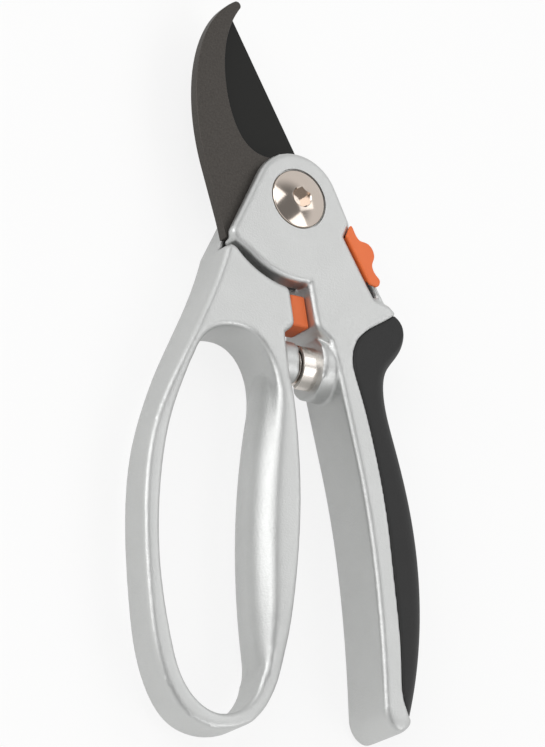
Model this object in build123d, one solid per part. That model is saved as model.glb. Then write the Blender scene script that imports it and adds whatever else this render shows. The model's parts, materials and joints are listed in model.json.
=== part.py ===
from build123d import *
import math
import os

# Bypass pruning shears: a grip lever with a soft grip and a hooked counter blade, and a loop lever
# with a finger guard and the cutting blade, crossed on one pivot bolt. A volute spring opens them,
# a bumper stops them, and a sliding thumb catch holds them.
#
# Millimetres. The origin is on the pivot axis, at the back end of the pivot bolt. +Z points out of
# the front face, +Y runs from the handles to the blades, +X is the grip lever's side. The shears are
# closed and lie on the backs of their handles, which are in the plane Z = 0.

# --- thicknesses, along Z ------------------------------------------------------------------------
HANDLE_THICKNESS = 18.0        # grip lever's handle and the loop lever's palm bar
GUARD_THICKNESS = 11.0         # finger guard
BACK_PLATE_THICKNESS = 6.0     # loop casting at the pivot
CUTTING_BLADE_THICKNESS = 2.5
BLADE_CLEARANCE = 0.1          # between the two blades
COUNTER_BLADE_THICKNESS = 3.0
PLATE_SKIN = 3.4               # grip casting over the counter blade

MID_Z = HANDLE_THICKNESS / 2
HEAD_THICKNESS = (BACK_PLATE_THICKNESS + CUTTING_BLADE_THICKNESS + BLADE_CLEARANCE
                  + COUNTER_BLADE_THICKNESS + PLATE_SKIN)
HEAD_BACK_Z = MID_Z - HEAD_THICKNESS / 2
BLADE_BACK_Z = HEAD_BACK_Z + BACK_PLATE_THICKNESS
BLADE_FRONT_Z = BLADE_BACK_Z + CUTTING_BLADE_THICKNESS
HOOK_BACK_Z = BLADE_FRONT_Z + BLADE_CLEARANCE
HOOK_FRONT_Z = HOOK_BACK_Z + COUNTER_BLADE_THICKNESS
HEAD_FRONT_Z = HOOK_FRONT_Z + PLATE_SKIN

# --- opening and fits ------------------------------------------------------------------------------
OPENING_ANGLE = 27.0           # degrees between closed and fully open
FIXED_FIT = 0.02               # radial, where two pieces stay together
RUNNING_FIT = 0.05             # radial, where one turns or slides in the other
POCKET_FIT = 0.1               # round the counter blade in its pocket
OVERCUT = 1.0                  # how far a cut runs past the surface it opens

# --- pivot -----------------------------------------------------------------------------------------
BOLT_HEAD_RADIUS = 8.0
BOLT_HEAD_RIM = 0.9            # height of the head's edge
BOLT_DOME = 2.1                # dome above the edge
BOLT_SEAT_DEPTH = 0.8          # counterbore in the head plate
BOLT_SEAT_FIT = 0.35
BOLT_SHOULDER_RADIUS = 4.0
BOLT_THREAD_RADIUS = 3.0
SOCKET_ACROSS_FLATS = 5.0
SOCKET_DEPTH = 3.0
BUSH_WALL = 1.5
NUT_ACROSS_FLATS = 10.0
NUT_THICKNESS = 3.3
WASHER_RADIUS = 6.3
WASHER_THICKNESS = 1.0
DISC_SPRING_HEIGHT = 0.55
DISC_SPRING_STRIP = 0.35
NUT_SEAT_RADIUS = 7.4          # counterbore in the loop casting's back
BOLT_SEAT_Z = HEAD_FRONT_Z - BOLT_SEAT_DEPTH
SHOULDER_END_Z = NUT_THICKNESS + WASHER_THICKNESS
NUT_SEAT_Z = SHOULDER_END_Z + DISC_SPRING_HEIGHT + RUNNING_FIT
BUSH_RADIUS = BOLT_SHOULDER_RADIUS + RUNNING_FIT + BUSH_WALL

# --- head ------------------------------------------------------------------------------------------
PLATE_TOP_RADIUS = 13.0        # head plate round the bolt
PLATE_HEEL_RADIUS = 23.2       # head plate's lower edge, facing the loop casting
SHOULDER_RADIUS = 25.4         # loop casting's upper edge, facing the head plate
BACK_DISC_RADIUS = 14.6        # loop casting's back plate round the pivot
LOBE_WALL = 1.5                # of the back plate round the catch pin's window
LOBE_END_ANGLE = -12.0
HEEL_START_ANGLE = -130.0      # where the head plate's lower edge begins
WEB_ANGLE = 190.0              # where the loop casting's outer side meets its back plate
RIB_WIDTH = 2.0                # of the rib on that side, beside the cutting blade
WEB_OVERLAP = 2.0              # of the back plate into the loop casting
WEB_NECK_OVERLAP = 0.5         # and at the shoulder's end, beside the channel
CATCH_CORNER = 3.1             # height of the head's side at the foot of the catch's recess
NECK_ANGLE = -97.0             # where the loop casting's shoulder meets the channel
LOBE_CLEARANCE = 0.6           # between that lobe and the grip casting

# --- thumb catch, in its own directions: s down the slide, n outwards ----------------------------------
CATCH_ORIGIN = (14.2, -7.7)    # upper inner corner of the catch's notch
CATCH_ANGLE = -60.0            # direction of the slide
CATCH_TRAVEL = 4.3
CATCH_END_GAP = 0.2
CATCH_RISE = 0.3               # catch face above the head plate's face
TAB_THICKNESS = 1.1
ROOT_NEAR = 0.35               # web from the tab down to the tongue, across the slide
ROOT_FAR = 1.25
ROOT_START = 0.2               # and along it
ROOT_END = 13.3
SLOT_WIDTH = 1.4
NUB_NEAR = 3.8                 # thick part of the tab, outside the head
NUB_START = 2.6
NUB_END = 9.6
TONGUE_THICKNESS = 2.2
TONGUE_REACH = 8.6             # of the tongue, inwards under the head plate
TONGUE_WIDTH = 4.8
TONGUE_START = -1.8
RETAINER_THICKNESS = 1.0
RETAINER_MARGIN = 2.2
RETAINER_LAP = 0.4             # past the tongue's inner end
RETAINER_SETBACK = 0.6         # from the notch
CATCH_GAP = 0.1                # above and below the tongue
CATCH_TOP = (0.05, 0.35)       # tab's corners at the slot
CATCH_FOOT = (14.2, 0.35)
CATCH_PROFILE = ((15.6, 2.0), (15.4, 3.2), (14.4, 3.9), (12.7, 3.6), (11.1, 3.5), (9.7, 4.1), (8.7, 5.3),
                 (7.2, 6.2), (5.2, 6.2), (3.7, 5.2), (2.7, 3.9), (1.3, 3.4), (-0.7, 3.5), (-2.1, 3.3))
NOTCH_TOP = (-2.6, 4.0)        # where the notch meets the head's side
NOTCH_REACH = 2 * max(n for s, n in CATCH_PROFILE)
NOTCH_END = 18.4               # where the tab's recess ends at the slot
CATCH_PIN_RADIUS = 1.25
CATCH_PIN_S = 0.5
CATCH_PIN_REACH = 6.5
CATCH_PIN_COVER = 0.4          # tongue left over the pin
CATCH_PIN_SETBACK = 1.0        # from the back plate's back
PIN_WINDOW_FIT = 0.2
RETAINER_SCREW_RADIUS = 1.0
RETAINER_TOP_SCREW_REACH = 5.3
RETAINER_FOOT_SCREW_REACH = 4.3
RETAINER_SCREW_TOP = 1.6       # under the head plate's face
RETAINER_SCREW_BORE_TOP = 1.5
DETENT_RADIUS = 1.2
DETENT_BORE_LENGTH = 7.0
DETENT_NOTCH_DEPTH = 0.35
DETENT_WIRE_RADIUS = 0.18
DETENT_PITCH = 0.7
DETENT_SPRING_PLAY = 0.1       # between the spring and the ball, and the spring and the bore's end
RETAINER_FRONT_Z = HOOK_BACK_Z + RETAINER_THICKNESS
TONGUE_BACK_Z = RETAINER_FRONT_Z + CATCH_GAP
TONGUE_FRONT_Z = TONGUE_BACK_Z + TONGUE_THICKNESS
TONGUE_MID_Z = (TONGUE_BACK_Z + TONGUE_FRONT_Z) / 2
CATCH_FRONT_Z = HEAD_FRONT_Z + CATCH_RISE
TAB_BACK_Z = CATCH_FRONT_Z - TAB_THICKNESS
RECESS_Z = TAB_BACK_Z - CATCH_GAP
SLOT_BACK_Z = TONGUE_BACK_Z - CATCH_GAP
CATCH_PIN_TOP_Z = TONGUE_FRONT_Z - CATCH_PIN_COVER
CATCH_PIN_END_Z = HEAD_BACK_Z + CATCH_PIN_SETBACK

# --- volute spring and its two seats, on one axis along X ------------------------------------------------
SPRING_Y = -44.0
SPRING_RADIUS = 6.2
SPRING_STRIP = 0.9             # strip thickness
SPRING_PITCH = 1.35            # from one coil to the next
SPRING_TURNS = 2.75
SPRING_STEPS = 12              # points of the spiral in each turn
SPRING_STRIP_WIDTH = 10.6
SPRING_SEAT_FIT = 0.3
LEFT_BOSS_RADIUS = 6.1
LEFT_BOSS_X = 0.6
LEFT_BOSS_ROOT = 3.0           # of the boss inside the palm bar
LEFT_STUD_RADIUS = 1.2
LEFT_STUD_LENGTH = 3.0
RING_BOSS_RADIUS = 8.3
RING_BOSS_X = 6.4
SOCKET_FLOOR_X = 12.6

# --- bumper ------------------------------------------------------------------------------------------
BUMPER_TOP_Y = -25.8
BUMPER_LENGTH = 8.6
BUMPER_THICKNESS = 9.0
BUMPER_LEFT_X = -1.7
BUMPER_STUD_RADIUS = 2.2
BUMPER_STUD_LENGTH = 6.0
BUMPER_ROUND = 1.0

# --- counter blade and its pins ------------------------------------------------------------------------
TANG_RADIUS = 9.4
TANG_HEEL_ANGLE = -78.0
TANG_CROWN_ANGLE = 62.0
HOOK_PIN_RADIUS = 1.75
HOOK_PIN_DEPTH = 2.2           # into the plate's skin
HOOK_PINS = ((-9.5, -1.5), (-13.0, -7.8))

# --- cutting blade and its screws -----------------------------------------------------------------------
BLADE_TANG_RADIUS = 11.6
BLADE_TANG_TOP_ANGLE = 40.0
BLADE_TANG_FOOT_ANGLE = -150.0
BEVEL_WIDTH = 2.4
BEVEL_DEPTH = 2.0
BLADE_SCREWS = ((-9.2, 3.4), (-2.6, -9.3))
BLADE_SCREW_RADIUS = 1.5
BLADE_SCREW_HEAD_RADIUS = 2.8
BLADE_SCREW_SEAT_DEPTH = 2.0
BLADE_SCREW_HEAD_SINK = 0.2    # head below the back plate's back

# --- soft grip --------------------------------------------------------------------------------------------
GRIP_WALL = 3.2
GRIP_EDGE_FILLET = 5.0         # along both outer edges

# --- outlines, seen from the front ----------------------------------------------------------------------
HOOK_OUTER = ((-16.6, 54.4), (-22.0, 49.6), (-27.4, 38.3), (-29.0, 26.0), (-27.4, 10.6),
              (-23.6, -3.0), (-20.7, -13.9))
HOOK_TIP = (-15.0, 54.0)
HOOK_INNER = ((-15.2, 52.4), (-19.3, 42.6), (-19.9, 32.0), (-18.0, 21.8), (-13.4, 13.9), (-6.0, 11.6))
BLADE_TIP = (-16.6, 52.2)
BLADE_EDGE_MIDDLE = (-23.4, 31.0)
BLADE_EDGE_HEEL = (-15.5, 8.5)
BLADE_SPINE_END = (6.2, 10.4)
PLATE_HEEL_CORNER = (-20.9, -12.9)
PLATE_HEEL_FOOT = (-19.4, -15.1)
PLATE_SIDE_END = (16.2, -3.9)
CHANNEL_TOP_X = 2.8
CHANNEL_TOP = (CHANNEL_TOP_X, -math.sqrt(PLATE_HEEL_RADIUS ** 2 - CHANNEL_TOP_X ** 2))
CHANNEL_CORNER = (4.6, -34.8)
CHANNEL_STEP = (8.4, -38.0)
GRIP_INNER = ((9.6, -43.5), (13.5, -60.5), (17.6, -80.5), (20.3, -101.5), (21.6, -122.0), (21.9, -134.0))
HANDLE_END = ((22.8, -138.3), (26.2, -140.7), (30.8, -137.6))
GRIP_TOP = (30.2, -26.4)
HEAD_SHOULDER = (27.6, -24.1)
GRIP_SEAM = ((23.8, -30.9), (17.6, -35.9), (15.1, -42.6), (16.9, -51.0), (20.2, -63.0),
             (23.9, -82.0), (26.1, -103.0), (27.3, -124.0), (28.2, -133.8))
GRIP_OUTER = ((33.2, -30.6), (32.0, -36.4), (27.2, -43.4), (26.4, -51.0), (28.9, -62.0),
              (32.8, -77.0), (35.4, -95.0), (35.6, -109.0), (34.0, -124.0))
LOOP_OUTER = ((-21.9, -16.6), (-29.9, -37.2), (-38.3, -55.0), (-43.9, -71.0), (-46.2, -92.0),
              (-45.2, -114.0), (-41.3, -133.3), (-34.2, -143.0), (-24.0, -145.2), (-14.2, -141.2),
              (-8.6, -133.0), (-4.4, -112.0), (-2.0, -88.0), (-2.2, -66.0), (-4.3, -42.0), (-4.6, -37.8))
LOOP_NECK = (-1.6, -35.4)
LOOP_OPENING = ((-21.0, -39.2), (-12.2, -42.2), (-8.6, -49.5), (-8.6, -62.0), (-10.7, -87.0),
                (-11.4, -112.0), (-12.6, -130.0), (-17.4, -138.4), (-25.6, -141.0), (-33.2, -136.6),
                (-38.4, -124.0), (-41.5, -103.0), (-41.1, -84.0), (-38.4, -67.5), (-33.6, -52.5),
                (-28.6, -42.8))
SWELL_TOP = (-8.2, -46.0)      # ends and height of the palm swell inside the loop
SWELL_BOTTOM = (-12.5, -131.0)
SWELL_HEIGHT = 4.4
SWELL_SIDE_INSET = 0.5
SWELL_ROOT = 2.0               # of the swell inside the palm bar

# where the thickness starts and ends its changes along Y, from the head down: (Y, total thickness)
GRIP_SIDE = ((30.0, HEAD_THICKNESS), (-24.0, HEAD_THICKNESS), (-52.0, HANDLE_THICKNESS),
             (-150.0, HANDLE_THICKNESS))
PALM_SIDE = ((30.0, HEAD_THICKNESS), (-40.0, HEAD_THICKNESS), (-62.0, HANDLE_THICKNESS),
             (-104.0, HANDLE_THICKNESS), (-141.0, GUARD_THICKNESS), (-160.0, GUARD_THICKNESS))
GUARD_SIDE = ((30.0, HEAD_THICKNESS), (-40.0, HEAD_THICKNESS), (-72.0, GUARD_THICKNESS),
              (-160.0, GUARD_THICKNESS))
PALM_GUARD_X = -22.5           # where the palm bar's side shape gives way to the guard's
REACH = 200.0                  # longer than anything it cuts


def polar(radius, degrees):
    """Point on a circle round the pivot."""
    return (radius * math.cos(math.radians(degrees)), radius * math.sin(math.radians(degrees)))


def angle_of(point):
    """Direction of a point from the pivot, in degrees."""
    return math.degrees(math.atan2(point[1], point[0]))


def arc(radius, start, end):
    """Arc round the pivot between two angles."""
    return ThreePointArc(polar(radius, start), polar(radius, (start + end) / 2), polar(radius, end))


def tangent_swing(point):
    """Angle between a point and where its tangent touches the plate's round top."""
    return math.degrees(math.acos(PLATE_TOP_RADIUS / math.hypot(*point)))


def slab(face, low, high):
    """Flat piece with this outline between two heights."""
    return Pos(0, 0, low) * extrude(face, high - low)


def rod(radius, length):
    """Round piece that stands on the origin."""
    return Cylinder(radius, length, align=(Align.CENTER, Align.CENTER, Align.MIN))


def disc(radius, low, high, centre=(0, 0)):
    """Round piece or hole along Z."""
    return Pos(centre[0], centre[1], low) * rod(radius, high - low)


def rod_x(radius, left, right):
    """Round piece or hole along X on the spring's axis."""
    return Pos(left, SPRING_Y, MID_Z) * Rot(0, 90, 0) * rod(radius, right - left)


def hexagon(across_flats, low, high):
    """Hexagonal piece or hole along Z on the pivot axis."""
    return slab(RegularPolygon(across_flats / math.sqrt(3), 6), low, high)


def catch_place(s, n):
    """Point given along and across the catch's slide."""
    along = math.radians(CATCH_ANGLE)
    x = CATCH_ORIGIN[0] + s * math.cos(along) - n * math.sin(along)
    y = CATCH_ORIGIN[1] + s * math.sin(along) + n * math.cos(along)
    return (x, y)


def catch_face(*points):
    """Outline given along and across the catch's slide."""
    return make_face(Polyline(*[catch_place(s, n) for s, n in points], close=True))


def side_shape(stations, low_x=-REACH, high_x=REACH):
    """Everything between the front and back surfaces of a lever, from its thickness along Y."""
    front = [(y, MID_Z + thickness / 2) for y, thickness in stations]
    back = [(y, MID_Z - thickness / 2) for y, thickness in stations]
    ends = [Line(front[0], back[0]), Line(front[-1], back[-1])]
    profile = Plane.YZ * make_face([*side_lines(front), *side_lines(back), *ends])
    return Pos(low_x, 0, 0) * extrude(profile, high_x - low_x)


def side_lines(points):
    """Straight lines where the height stays, and smooth curves between two heights."""
    lines = []
    for start, end in zip(points, points[1:]):
        middle = (start[0] + end[0]) / 2
        if start[1] == end[1]:
            lines.append(Line(start, end))
        else:
            lines.append(Bezier(start, (middle, start[1]), (middle, end[1]), end))
    return lines


def turned(shape, degrees):
    """The shape turned about the pivot."""
    return Rot(0, 0, degrees) * shape


def hook_outline():
    """Counter blade: hook, and a round tang about the bolt."""
    tip = ThreePointArc(HOOK_INNER[0], HOOK_TIP, HOOK_OUTER[0])
    outer = Spline(*HOOK_OUTER)
    tang = arc(TANG_RADIUS, TANG_HEEL_ANGLE, TANG_CROWN_ANGLE)
    base = Line(HOOK_OUTER[-1], tang @ 0)
    top = Line(tang @ 1, HOOK_INNER[-1])
    inner = Spline(*reversed(HOOK_INNER))
    return make_face([tip, outer, base, tang, top, inner])


def blade_outline():
    """Cutting blade: straight spine, curved edge, and a round tang about the bolt."""
    spine = Line(BLADE_TIP, BLADE_SPINE_END)
    tang = arc(BLADE_TANG_RADIUS, BLADE_TANG_TOP_ANGLE, BLADE_TANG_FOOT_ANGLE)
    shoulder = Line(BLADE_SPINE_END, tang @ 0)
    heel = Line(tang @ 1, BLADE_EDGE_HEEL)
    edge = ThreePointArc(BLADE_EDGE_HEEL, BLADE_EDGE_MIDDLE, BLADE_TIP)
    return make_face([spine, shoulder, tang, heel, edge])


def head_outline():
    """Head plate of the grip casting, down to where the handle takes over."""
    right = angle_of(PLATE_SIDE_END) + tangent_swing(PLATE_SIDE_END)
    left = angle_of(PLATE_HEEL_CORNER) + 360 - tangent_swing(PLATE_HEEL_CORNER)
    crown = arc(PLATE_TOP_RADIUS, right, left)
    heel = arc(PLATE_HEEL_RADIUS, HEEL_START_ANGLE, angle_of(CHANNEL_TOP))
    return make_face([
        crown,
        Line(crown @ 1, PLATE_HEEL_CORNER),
        Line(PLATE_HEEL_CORNER, PLATE_HEEL_FOOT),
        Line(PLATE_HEEL_FOOT, heel @ 0),
        heel,
        Line(heel @ 1, CHANNEL_CORNER),
        Line(CHANNEL_CORNER, CHANNEL_STEP),
        Line(CHANNEL_STEP, GRIP_TOP),
        Line(GRIP_TOP, HEAD_SHOULDER),
        Line(HEAD_SHOULDER, catch_place(NOTCH_END, CATCH_CORNER)),
        Line(catch_place(NOTCH_END, CATCH_CORNER), PLATE_SIDE_END),
        Line(PLATE_SIDE_END, crown @ 0),
    ])


def grip_seam():
    """Line between the soft grip and the bare metal of the handle."""
    return Spline(GRIP_TOP, *GRIP_SEAM, HANDLE_END[-1])


def handle_outline():
    """Bare metal of the grip lever's handle, from the channel to its end."""
    return make_face([
        Line(CHANNEL_STEP, GRIP_INNER[0]),
        Spline(*GRIP_INNER),
        Spline(GRIP_INNER[-1], *HANDLE_END, tangents=((0, -1), (0.9, 1))),
        grip_seam(),
        Line(GRIP_TOP, CHANNEL_STEP),
    ])


def grip_outline():
    """Soft grip on the outer side of the handle."""
    return make_face([
        grip_seam(),
        Spline(HANDLE_END[-1], *reversed(GRIP_OUTER), GRIP_TOP),
    ])


def spring_socket():
    """Space inside the grip casting's spring socket."""
    return rod_x(SPRING_RADIUS + SPRING_SEAT_FIT, RING_BOSS_X - OVERCUT, SOCKET_FLOOR_X)


def bumper_stud(fit=0.0):
    """Stud that holds the bumper in the grip casting's wall."""
    stud = rod(BUMPER_STUD_RADIUS + fit, BUMPER_STUD_LENGTH + fit)
    middle = BUMPER_TOP_Y - BUMPER_LENGTH / 2
    return Pos(channel_wall_x(middle), middle, MID_Z) * Rot(0, 90, 0) * stud


def channel_wall_x(y):
    """X of the grip casting's wall in the channel between the castings."""
    share = (y - CHANNEL_TOP[1]) / (CHANNEL_CORNER[1] - CHANNEL_TOP[1])
    return CHANNEL_TOP[0] + share * (CHANNEL_CORNER[0] - CHANNEL_TOP[0])


def tongue_face(outer, margin=0.0, travel=0.0):
    """Catch's tongue under the head plate, with room round it and down its travel."""
    top = TONGUE_START - margin
    foot = TONGUE_START + TONGUE_WIDTH + travel + margin
    deep = -TONGUE_REACH - margin
    return catch_face((top, outer), (top, deep), (foot, deep), (foot, outer))


def detent_rod(radius, start, length):
    """Round piece or hole along the detent's axis, from the tongue inwards."""
    x, y = catch_place(TONGUE_START + TONGUE_WIDTH / 2, -TONGUE_REACH - start)
    return Pos(x, y, TONGUE_MID_Z) * Rot(0, 0, CATCH_ANGLE - 90) * Rot(0, 90, 0) * rod(radius, length)


def retainer_face(fit=0.0):
    """Steel plate under the catch's tongue."""
    top = TONGUE_START - RETAINER_MARGIN - fit
    foot = TONGUE_START + TONGUE_WIDTH + CATCH_TRAVEL + RETAINER_MARGIN + fit
    deep = TONGUE_REACH + RETAINER_LAP + fit
    near = RETAINER_SETBACK - fit
    return catch_face((top, -near), (top, -deep), (foot, -deep), (foot, -near))


def retainer_screw_places():
    """Middles of the retainer's two screws."""
    top = TONGUE_START - RETAINER_MARGIN / 2
    foot = TONGUE_START + TONGUE_WIDTH + CATCH_TRAVEL + RETAINER_MARGIN / 2
    return (catch_place(top, -RETAINER_TOP_SCREW_REACH), catch_place(foot, -RETAINER_FOOT_SCREW_REACH))


def pin_path(s_start, s_end, radius):
    """Straight slot along the catch's slide round the pin."""
    a = catch_place(s_start, -CATCH_PIN_REACH)
    b = catch_place(s_end, -CATCH_PIN_REACH)
    bar = catch_face((s_start, radius - CATCH_PIN_REACH), (s_end, radius - CATCH_PIN_REACH),
                     (s_end, -radius - CATCH_PIN_REACH), (s_start, -radius - CATCH_PIN_REACH))
    return bar + Pos(*a) * Circle(radius) + Pos(*b) * Circle(radius)


def grip_core():
    """Metal of the handle that runs on inside the soft grip."""
    full = slab(grip_outline(), GRIP_WALL, HANDLE_THICKNESS - GRIP_WALL)
    return full & Pos(-GRIP_WALL, 0, 0) * full


def catch_recess():
    """Recess under the catch's tab, the slot for its web, and the space for its tongue."""
    lean = (CATCH_PROFILE[0][0] - CATCH_FOOT[0]) / (CATCH_PROFILE[0][1] - CATCH_FOOT[1])
    notch = catch_face((0, 0), (NOTCH_END, 0), (NOTCH_END + lean * NOTCH_REACH, NOTCH_REACH),
                       (NOTCH_TOP[0], NOTCH_REACH), NOTCH_TOP)
    slot_end = ROOT_END + CATCH_TRAVEL + CATCH_END_GAP
    slot = catch_face((0, 0), (slot_end, 0), (slot_end, SLOT_WIDTH), (0, SLOT_WIDTH))
    space = tongue_face(SLOT_WIDTH, CATCH_GAP, CATCH_TRAVEL)
    return (slab(notch, RECESS_Z, HEAD_FRONT_Z + OVERCUT)
            + slab(slot, SLOT_BACK_Z, HEAD_FRONT_Z)
            + slab(space, SLOT_BACK_Z, TONGUE_FRONT_Z + CATCH_GAP))


def grip_casting():
    """Grip lever: head plate over the blades, handle, spring socket and the catch's slide."""
    outline = head_outline() + handle_outline()
    body = slab(outline, 0, HANDLE_THICKNESS)
    blades = slab(head_outline(), -OVERCUT, HOOK_BACK_Z)
    lower_head = disc(lobe_radius() + LOBE_CLEARANCE, -OVERCUT, HOOK_BACK_Z)
    left_side = Box(REACH, REACH, 2 * HOOK_BACK_Z, align=(Align.MAX, Align.CENTER, Align.CENTER))
    left_side = Pos(CHANNEL_TOP[0], 0, 0) * left_side
    body = body - lower_head - (left_side & blades)
    body = (body & side_shape(GRIP_SIDE)) + grip_core()

    body += rod_x(RING_BOSS_RADIUS, RING_BOSS_X, SOCKET_FLOOR_X)
    body -= spring_socket()
    body -= bumper_stud(FIXED_FIT)

    body -= slab(offset(hook_outline(), POCKET_FIT), HOOK_BACK_Z - OVERCUT, HOOK_FRONT_Z)
    body -= disc(BOLT_SHOULDER_RADIUS + FIXED_FIT, HOOK_FRONT_Z - OVERCUT, HEAD_FRONT_Z)
    body -= disc(BOLT_HEAD_RADIUS + BOLT_SEAT_FIT, BOLT_SEAT_Z, HEAD_FRONT_Z + OVERCUT)
    pin_top = HOOK_FRONT_Z + HOOK_PIN_DEPTH
    for place in HOOK_PINS:
        body -= disc(HOOK_PIN_RADIUS + FIXED_FIT, HOOK_FRONT_Z - OVERCUT, pin_top, place)

    body -= catch_recess()
    body -= slab(retainer_face(POCKET_FIT), HOOK_BACK_Z - OVERCUT, RETAINER_FRONT_Z)
    body -= detent_rod(DETENT_RADIUS + RUNNING_FIT, -OVERCUT, DETENT_BORE_LENGTH + OVERCUT)
    bore_top = HEAD_FRONT_Z - RETAINER_SCREW_BORE_TOP
    for place in retainer_screw_places():
        body -= disc(RETAINER_SCREW_RADIUS + FIXED_FIT, HOOK_BACK_Z, bore_top, place)
    return body


def soft_grip():
    """Rubber over the outer side of the grip lever's handle, rounded along its outer edges."""
    block = slab(grip_outline(), 0, HANDLE_THICKNESS)
    outer_side = block.faces().filter_by(Axis.Z, reverse=True).sort_by(Axis.X)[-1]
    rims = outer_side.edges().sort_by(SortBy.LENGTH)[-2:]
    return (fillet(rims, GRIP_EDGE_FILLET) & side_shape(GRIP_SIDE)) - grip_core()


def counter_blade():
    """Hooked counter blade."""
    blade = slab(hook_outline(), HOOK_BACK_Z, HOOK_FRONT_Z)
    blade -= disc(BOLT_SHOULDER_RADIUS + FIXED_FIT, HOOK_BACK_Z - OVERCUT, HOOK_FRONT_Z + OVERCUT)
    for place in HOOK_PINS:
        blade -= disc(HOOK_PIN_RADIUS + FIXED_FIT, HOOK_BACK_Z - OVERCUT, HOOK_FRONT_Z + OVERCUT, place)
    return blade


def counter_blade_pins():
    """Two pins that keep the counter blade from turning in its pocket."""
    top_z = HOOK_FRONT_Z + HOOK_PIN_DEPTH
    return [disc(HOOK_PIN_RADIUS, HOOK_BACK_Z, top_z, place) for place in HOOK_PINS]


def pivot_bolt():
    """Domed hexagon socket bolt."""
    rim_z = BOLT_SEAT_Z + BOLT_HEAD_RIM
    head = disc(BOLT_HEAD_RADIUS, BOLT_SEAT_Z, rim_z)
    ball_radius = (BOLT_HEAD_RADIUS ** 2 + BOLT_DOME ** 2) / (2 * BOLT_DOME)
    ball = Pos(0, 0, rim_z + BOLT_DOME - ball_radius) * Sphere(ball_radius)
    dome = ball & disc(BOLT_HEAD_RADIUS, rim_z, rim_z + BOLT_DOME + OVERCUT)
    bolt = head + dome + disc(BOLT_SHOULDER_RADIUS, SHOULDER_END_Z, BOLT_SEAT_Z)
    bolt += disc(BOLT_THREAD_RADIUS, 0, SHOULDER_END_Z)
    top_z = rim_z + BOLT_DOME
    return bolt - hexagon(SOCKET_ACROSS_FLATS, top_z - SOCKET_DEPTH, top_z + OVERCUT)


def pivot_nut():
    """Thin lock nut on the bolt's end."""
    nut = hexagon(NUT_ACROSS_FLATS, 0, NUT_THICKNESS)
    return nut - disc(BOLT_THREAD_RADIUS + FIXED_FIT, -OVERCUT, NUT_THICKNESS + OVERCUT)


def pivot_washer():
    """Washer clamped between the nut and the bolt's shoulder."""
    ring = disc(WASHER_RADIUS, NUT_THICKNESS, SHOULDER_END_Z)
    return ring - disc(BOLT_THREAD_RADIUS + FIXED_FIT, 0, SHOULDER_END_Z + OVERCUT)


def disc_spring():
    """Dished spring washer that takes up the play between the levers."""
    inner = BOLT_SHOULDER_RADIUS + 2 * RUNNING_FIT
    low = SHOULDER_END_Z
    rise = DISC_SPRING_HEIGHT - DISC_SPRING_STRIP
    section = Polyline((WASHER_RADIUS, low), (WASHER_RADIUS, low + DISC_SPRING_STRIP),
                       (inner, low + rise + DISC_SPRING_STRIP), (inner, low + rise), close=True)
    return revolve(Plane.XZ * make_face(section), Axis.Z)


def bumper():
    """Rubber stop between the two castings, on a stud in the grip casting."""
    foot_y = BUMPER_TOP_Y - BUMPER_LENGTH
    block = make_face(Polyline(
        (BUMPER_LEFT_X, BUMPER_TOP_Y), (channel_wall_x(BUMPER_TOP_Y), BUMPER_TOP_Y),
        (channel_wall_x(foot_y), foot_y), (BUMPER_LEFT_X, foot_y), close=True))
    solid = slab(block, MID_Z - BUMPER_THICKNESS / 2, MID_Z + BUMPER_THICKNESS / 2)
    face_edges = solid.faces().sort_by(Axis.X)[0].edges()
    return fillet(face_edges, BUMPER_ROUND) + bumper_stud()


def catch_retainer():
    """Steel plate that closes the catch's slide from below."""
    plate = slab(retainer_face(), HOOK_BACK_Z, RETAINER_FRONT_Z)
    path = pin_path(CATCH_PIN_S, CATCH_PIN_S + CATCH_TRAVEL, CATCH_PIN_RADIUS + PIN_WINDOW_FIT)
    plate -= slab(path, HOOK_BACK_Z - OVERCUT, RETAINER_FRONT_Z + OVERCUT)
    bore = RETAINER_SCREW_RADIUS + FIXED_FIT
    for place in retainer_screw_places():
        plate -= disc(bore, HOOK_BACK_Z - OVERCUT, RETAINER_FRONT_Z + OVERCUT, place)
    return plate


def retainer_screws():
    """Two flush screws through the retainer."""
    return [disc(RETAINER_SCREW_RADIUS, HOOK_BACK_Z, HEAD_FRONT_Z - RETAINER_SCREW_TOP, place)
            for place in retainer_screw_places()]


def detent_ball():
    """Ball that clicks into the tongue's two notches."""
    x, y = catch_place(TONGUE_START + TONGUE_WIDTH / 2, -TONGUE_REACH - DETENT_RADIUS - RUNNING_FIT)
    return Pos(x, y, TONGUE_MID_Z) * Sphere(DETENT_RADIUS)


def detent_spring():
    """Coil spring behind the detent ball."""
    start = 2 * DETENT_RADIUS + 2 * RUNNING_FIT
    length = DETENT_BORE_LENGTH - start
    wire = DETENT_WIRE_RADIUS
    mean = DETENT_RADIUS - wire - RUNNING_FIT
    coil = Helix(pitch=DETENT_PITCH, height=length - 2 * wire - DETENT_SPRING_PLAY, radius=mean)
    section = Plane(origin=coil @ 0, z_dir=coil % 0) * Circle(wire)
    spring = sweep(section, path=coil)
    near_end = TONGUE_REACH + start + wire + DETENT_SPRING_PLAY / 2
    x, y = catch_place(TONGUE_START + TONGUE_WIDTH / 2, -near_end)
    return Pos(x, y, TONGUE_MID_Z) * Rot(0, 0, CATCH_ANGLE - 90) * Rot(0, 90, 0) * spring


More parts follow.
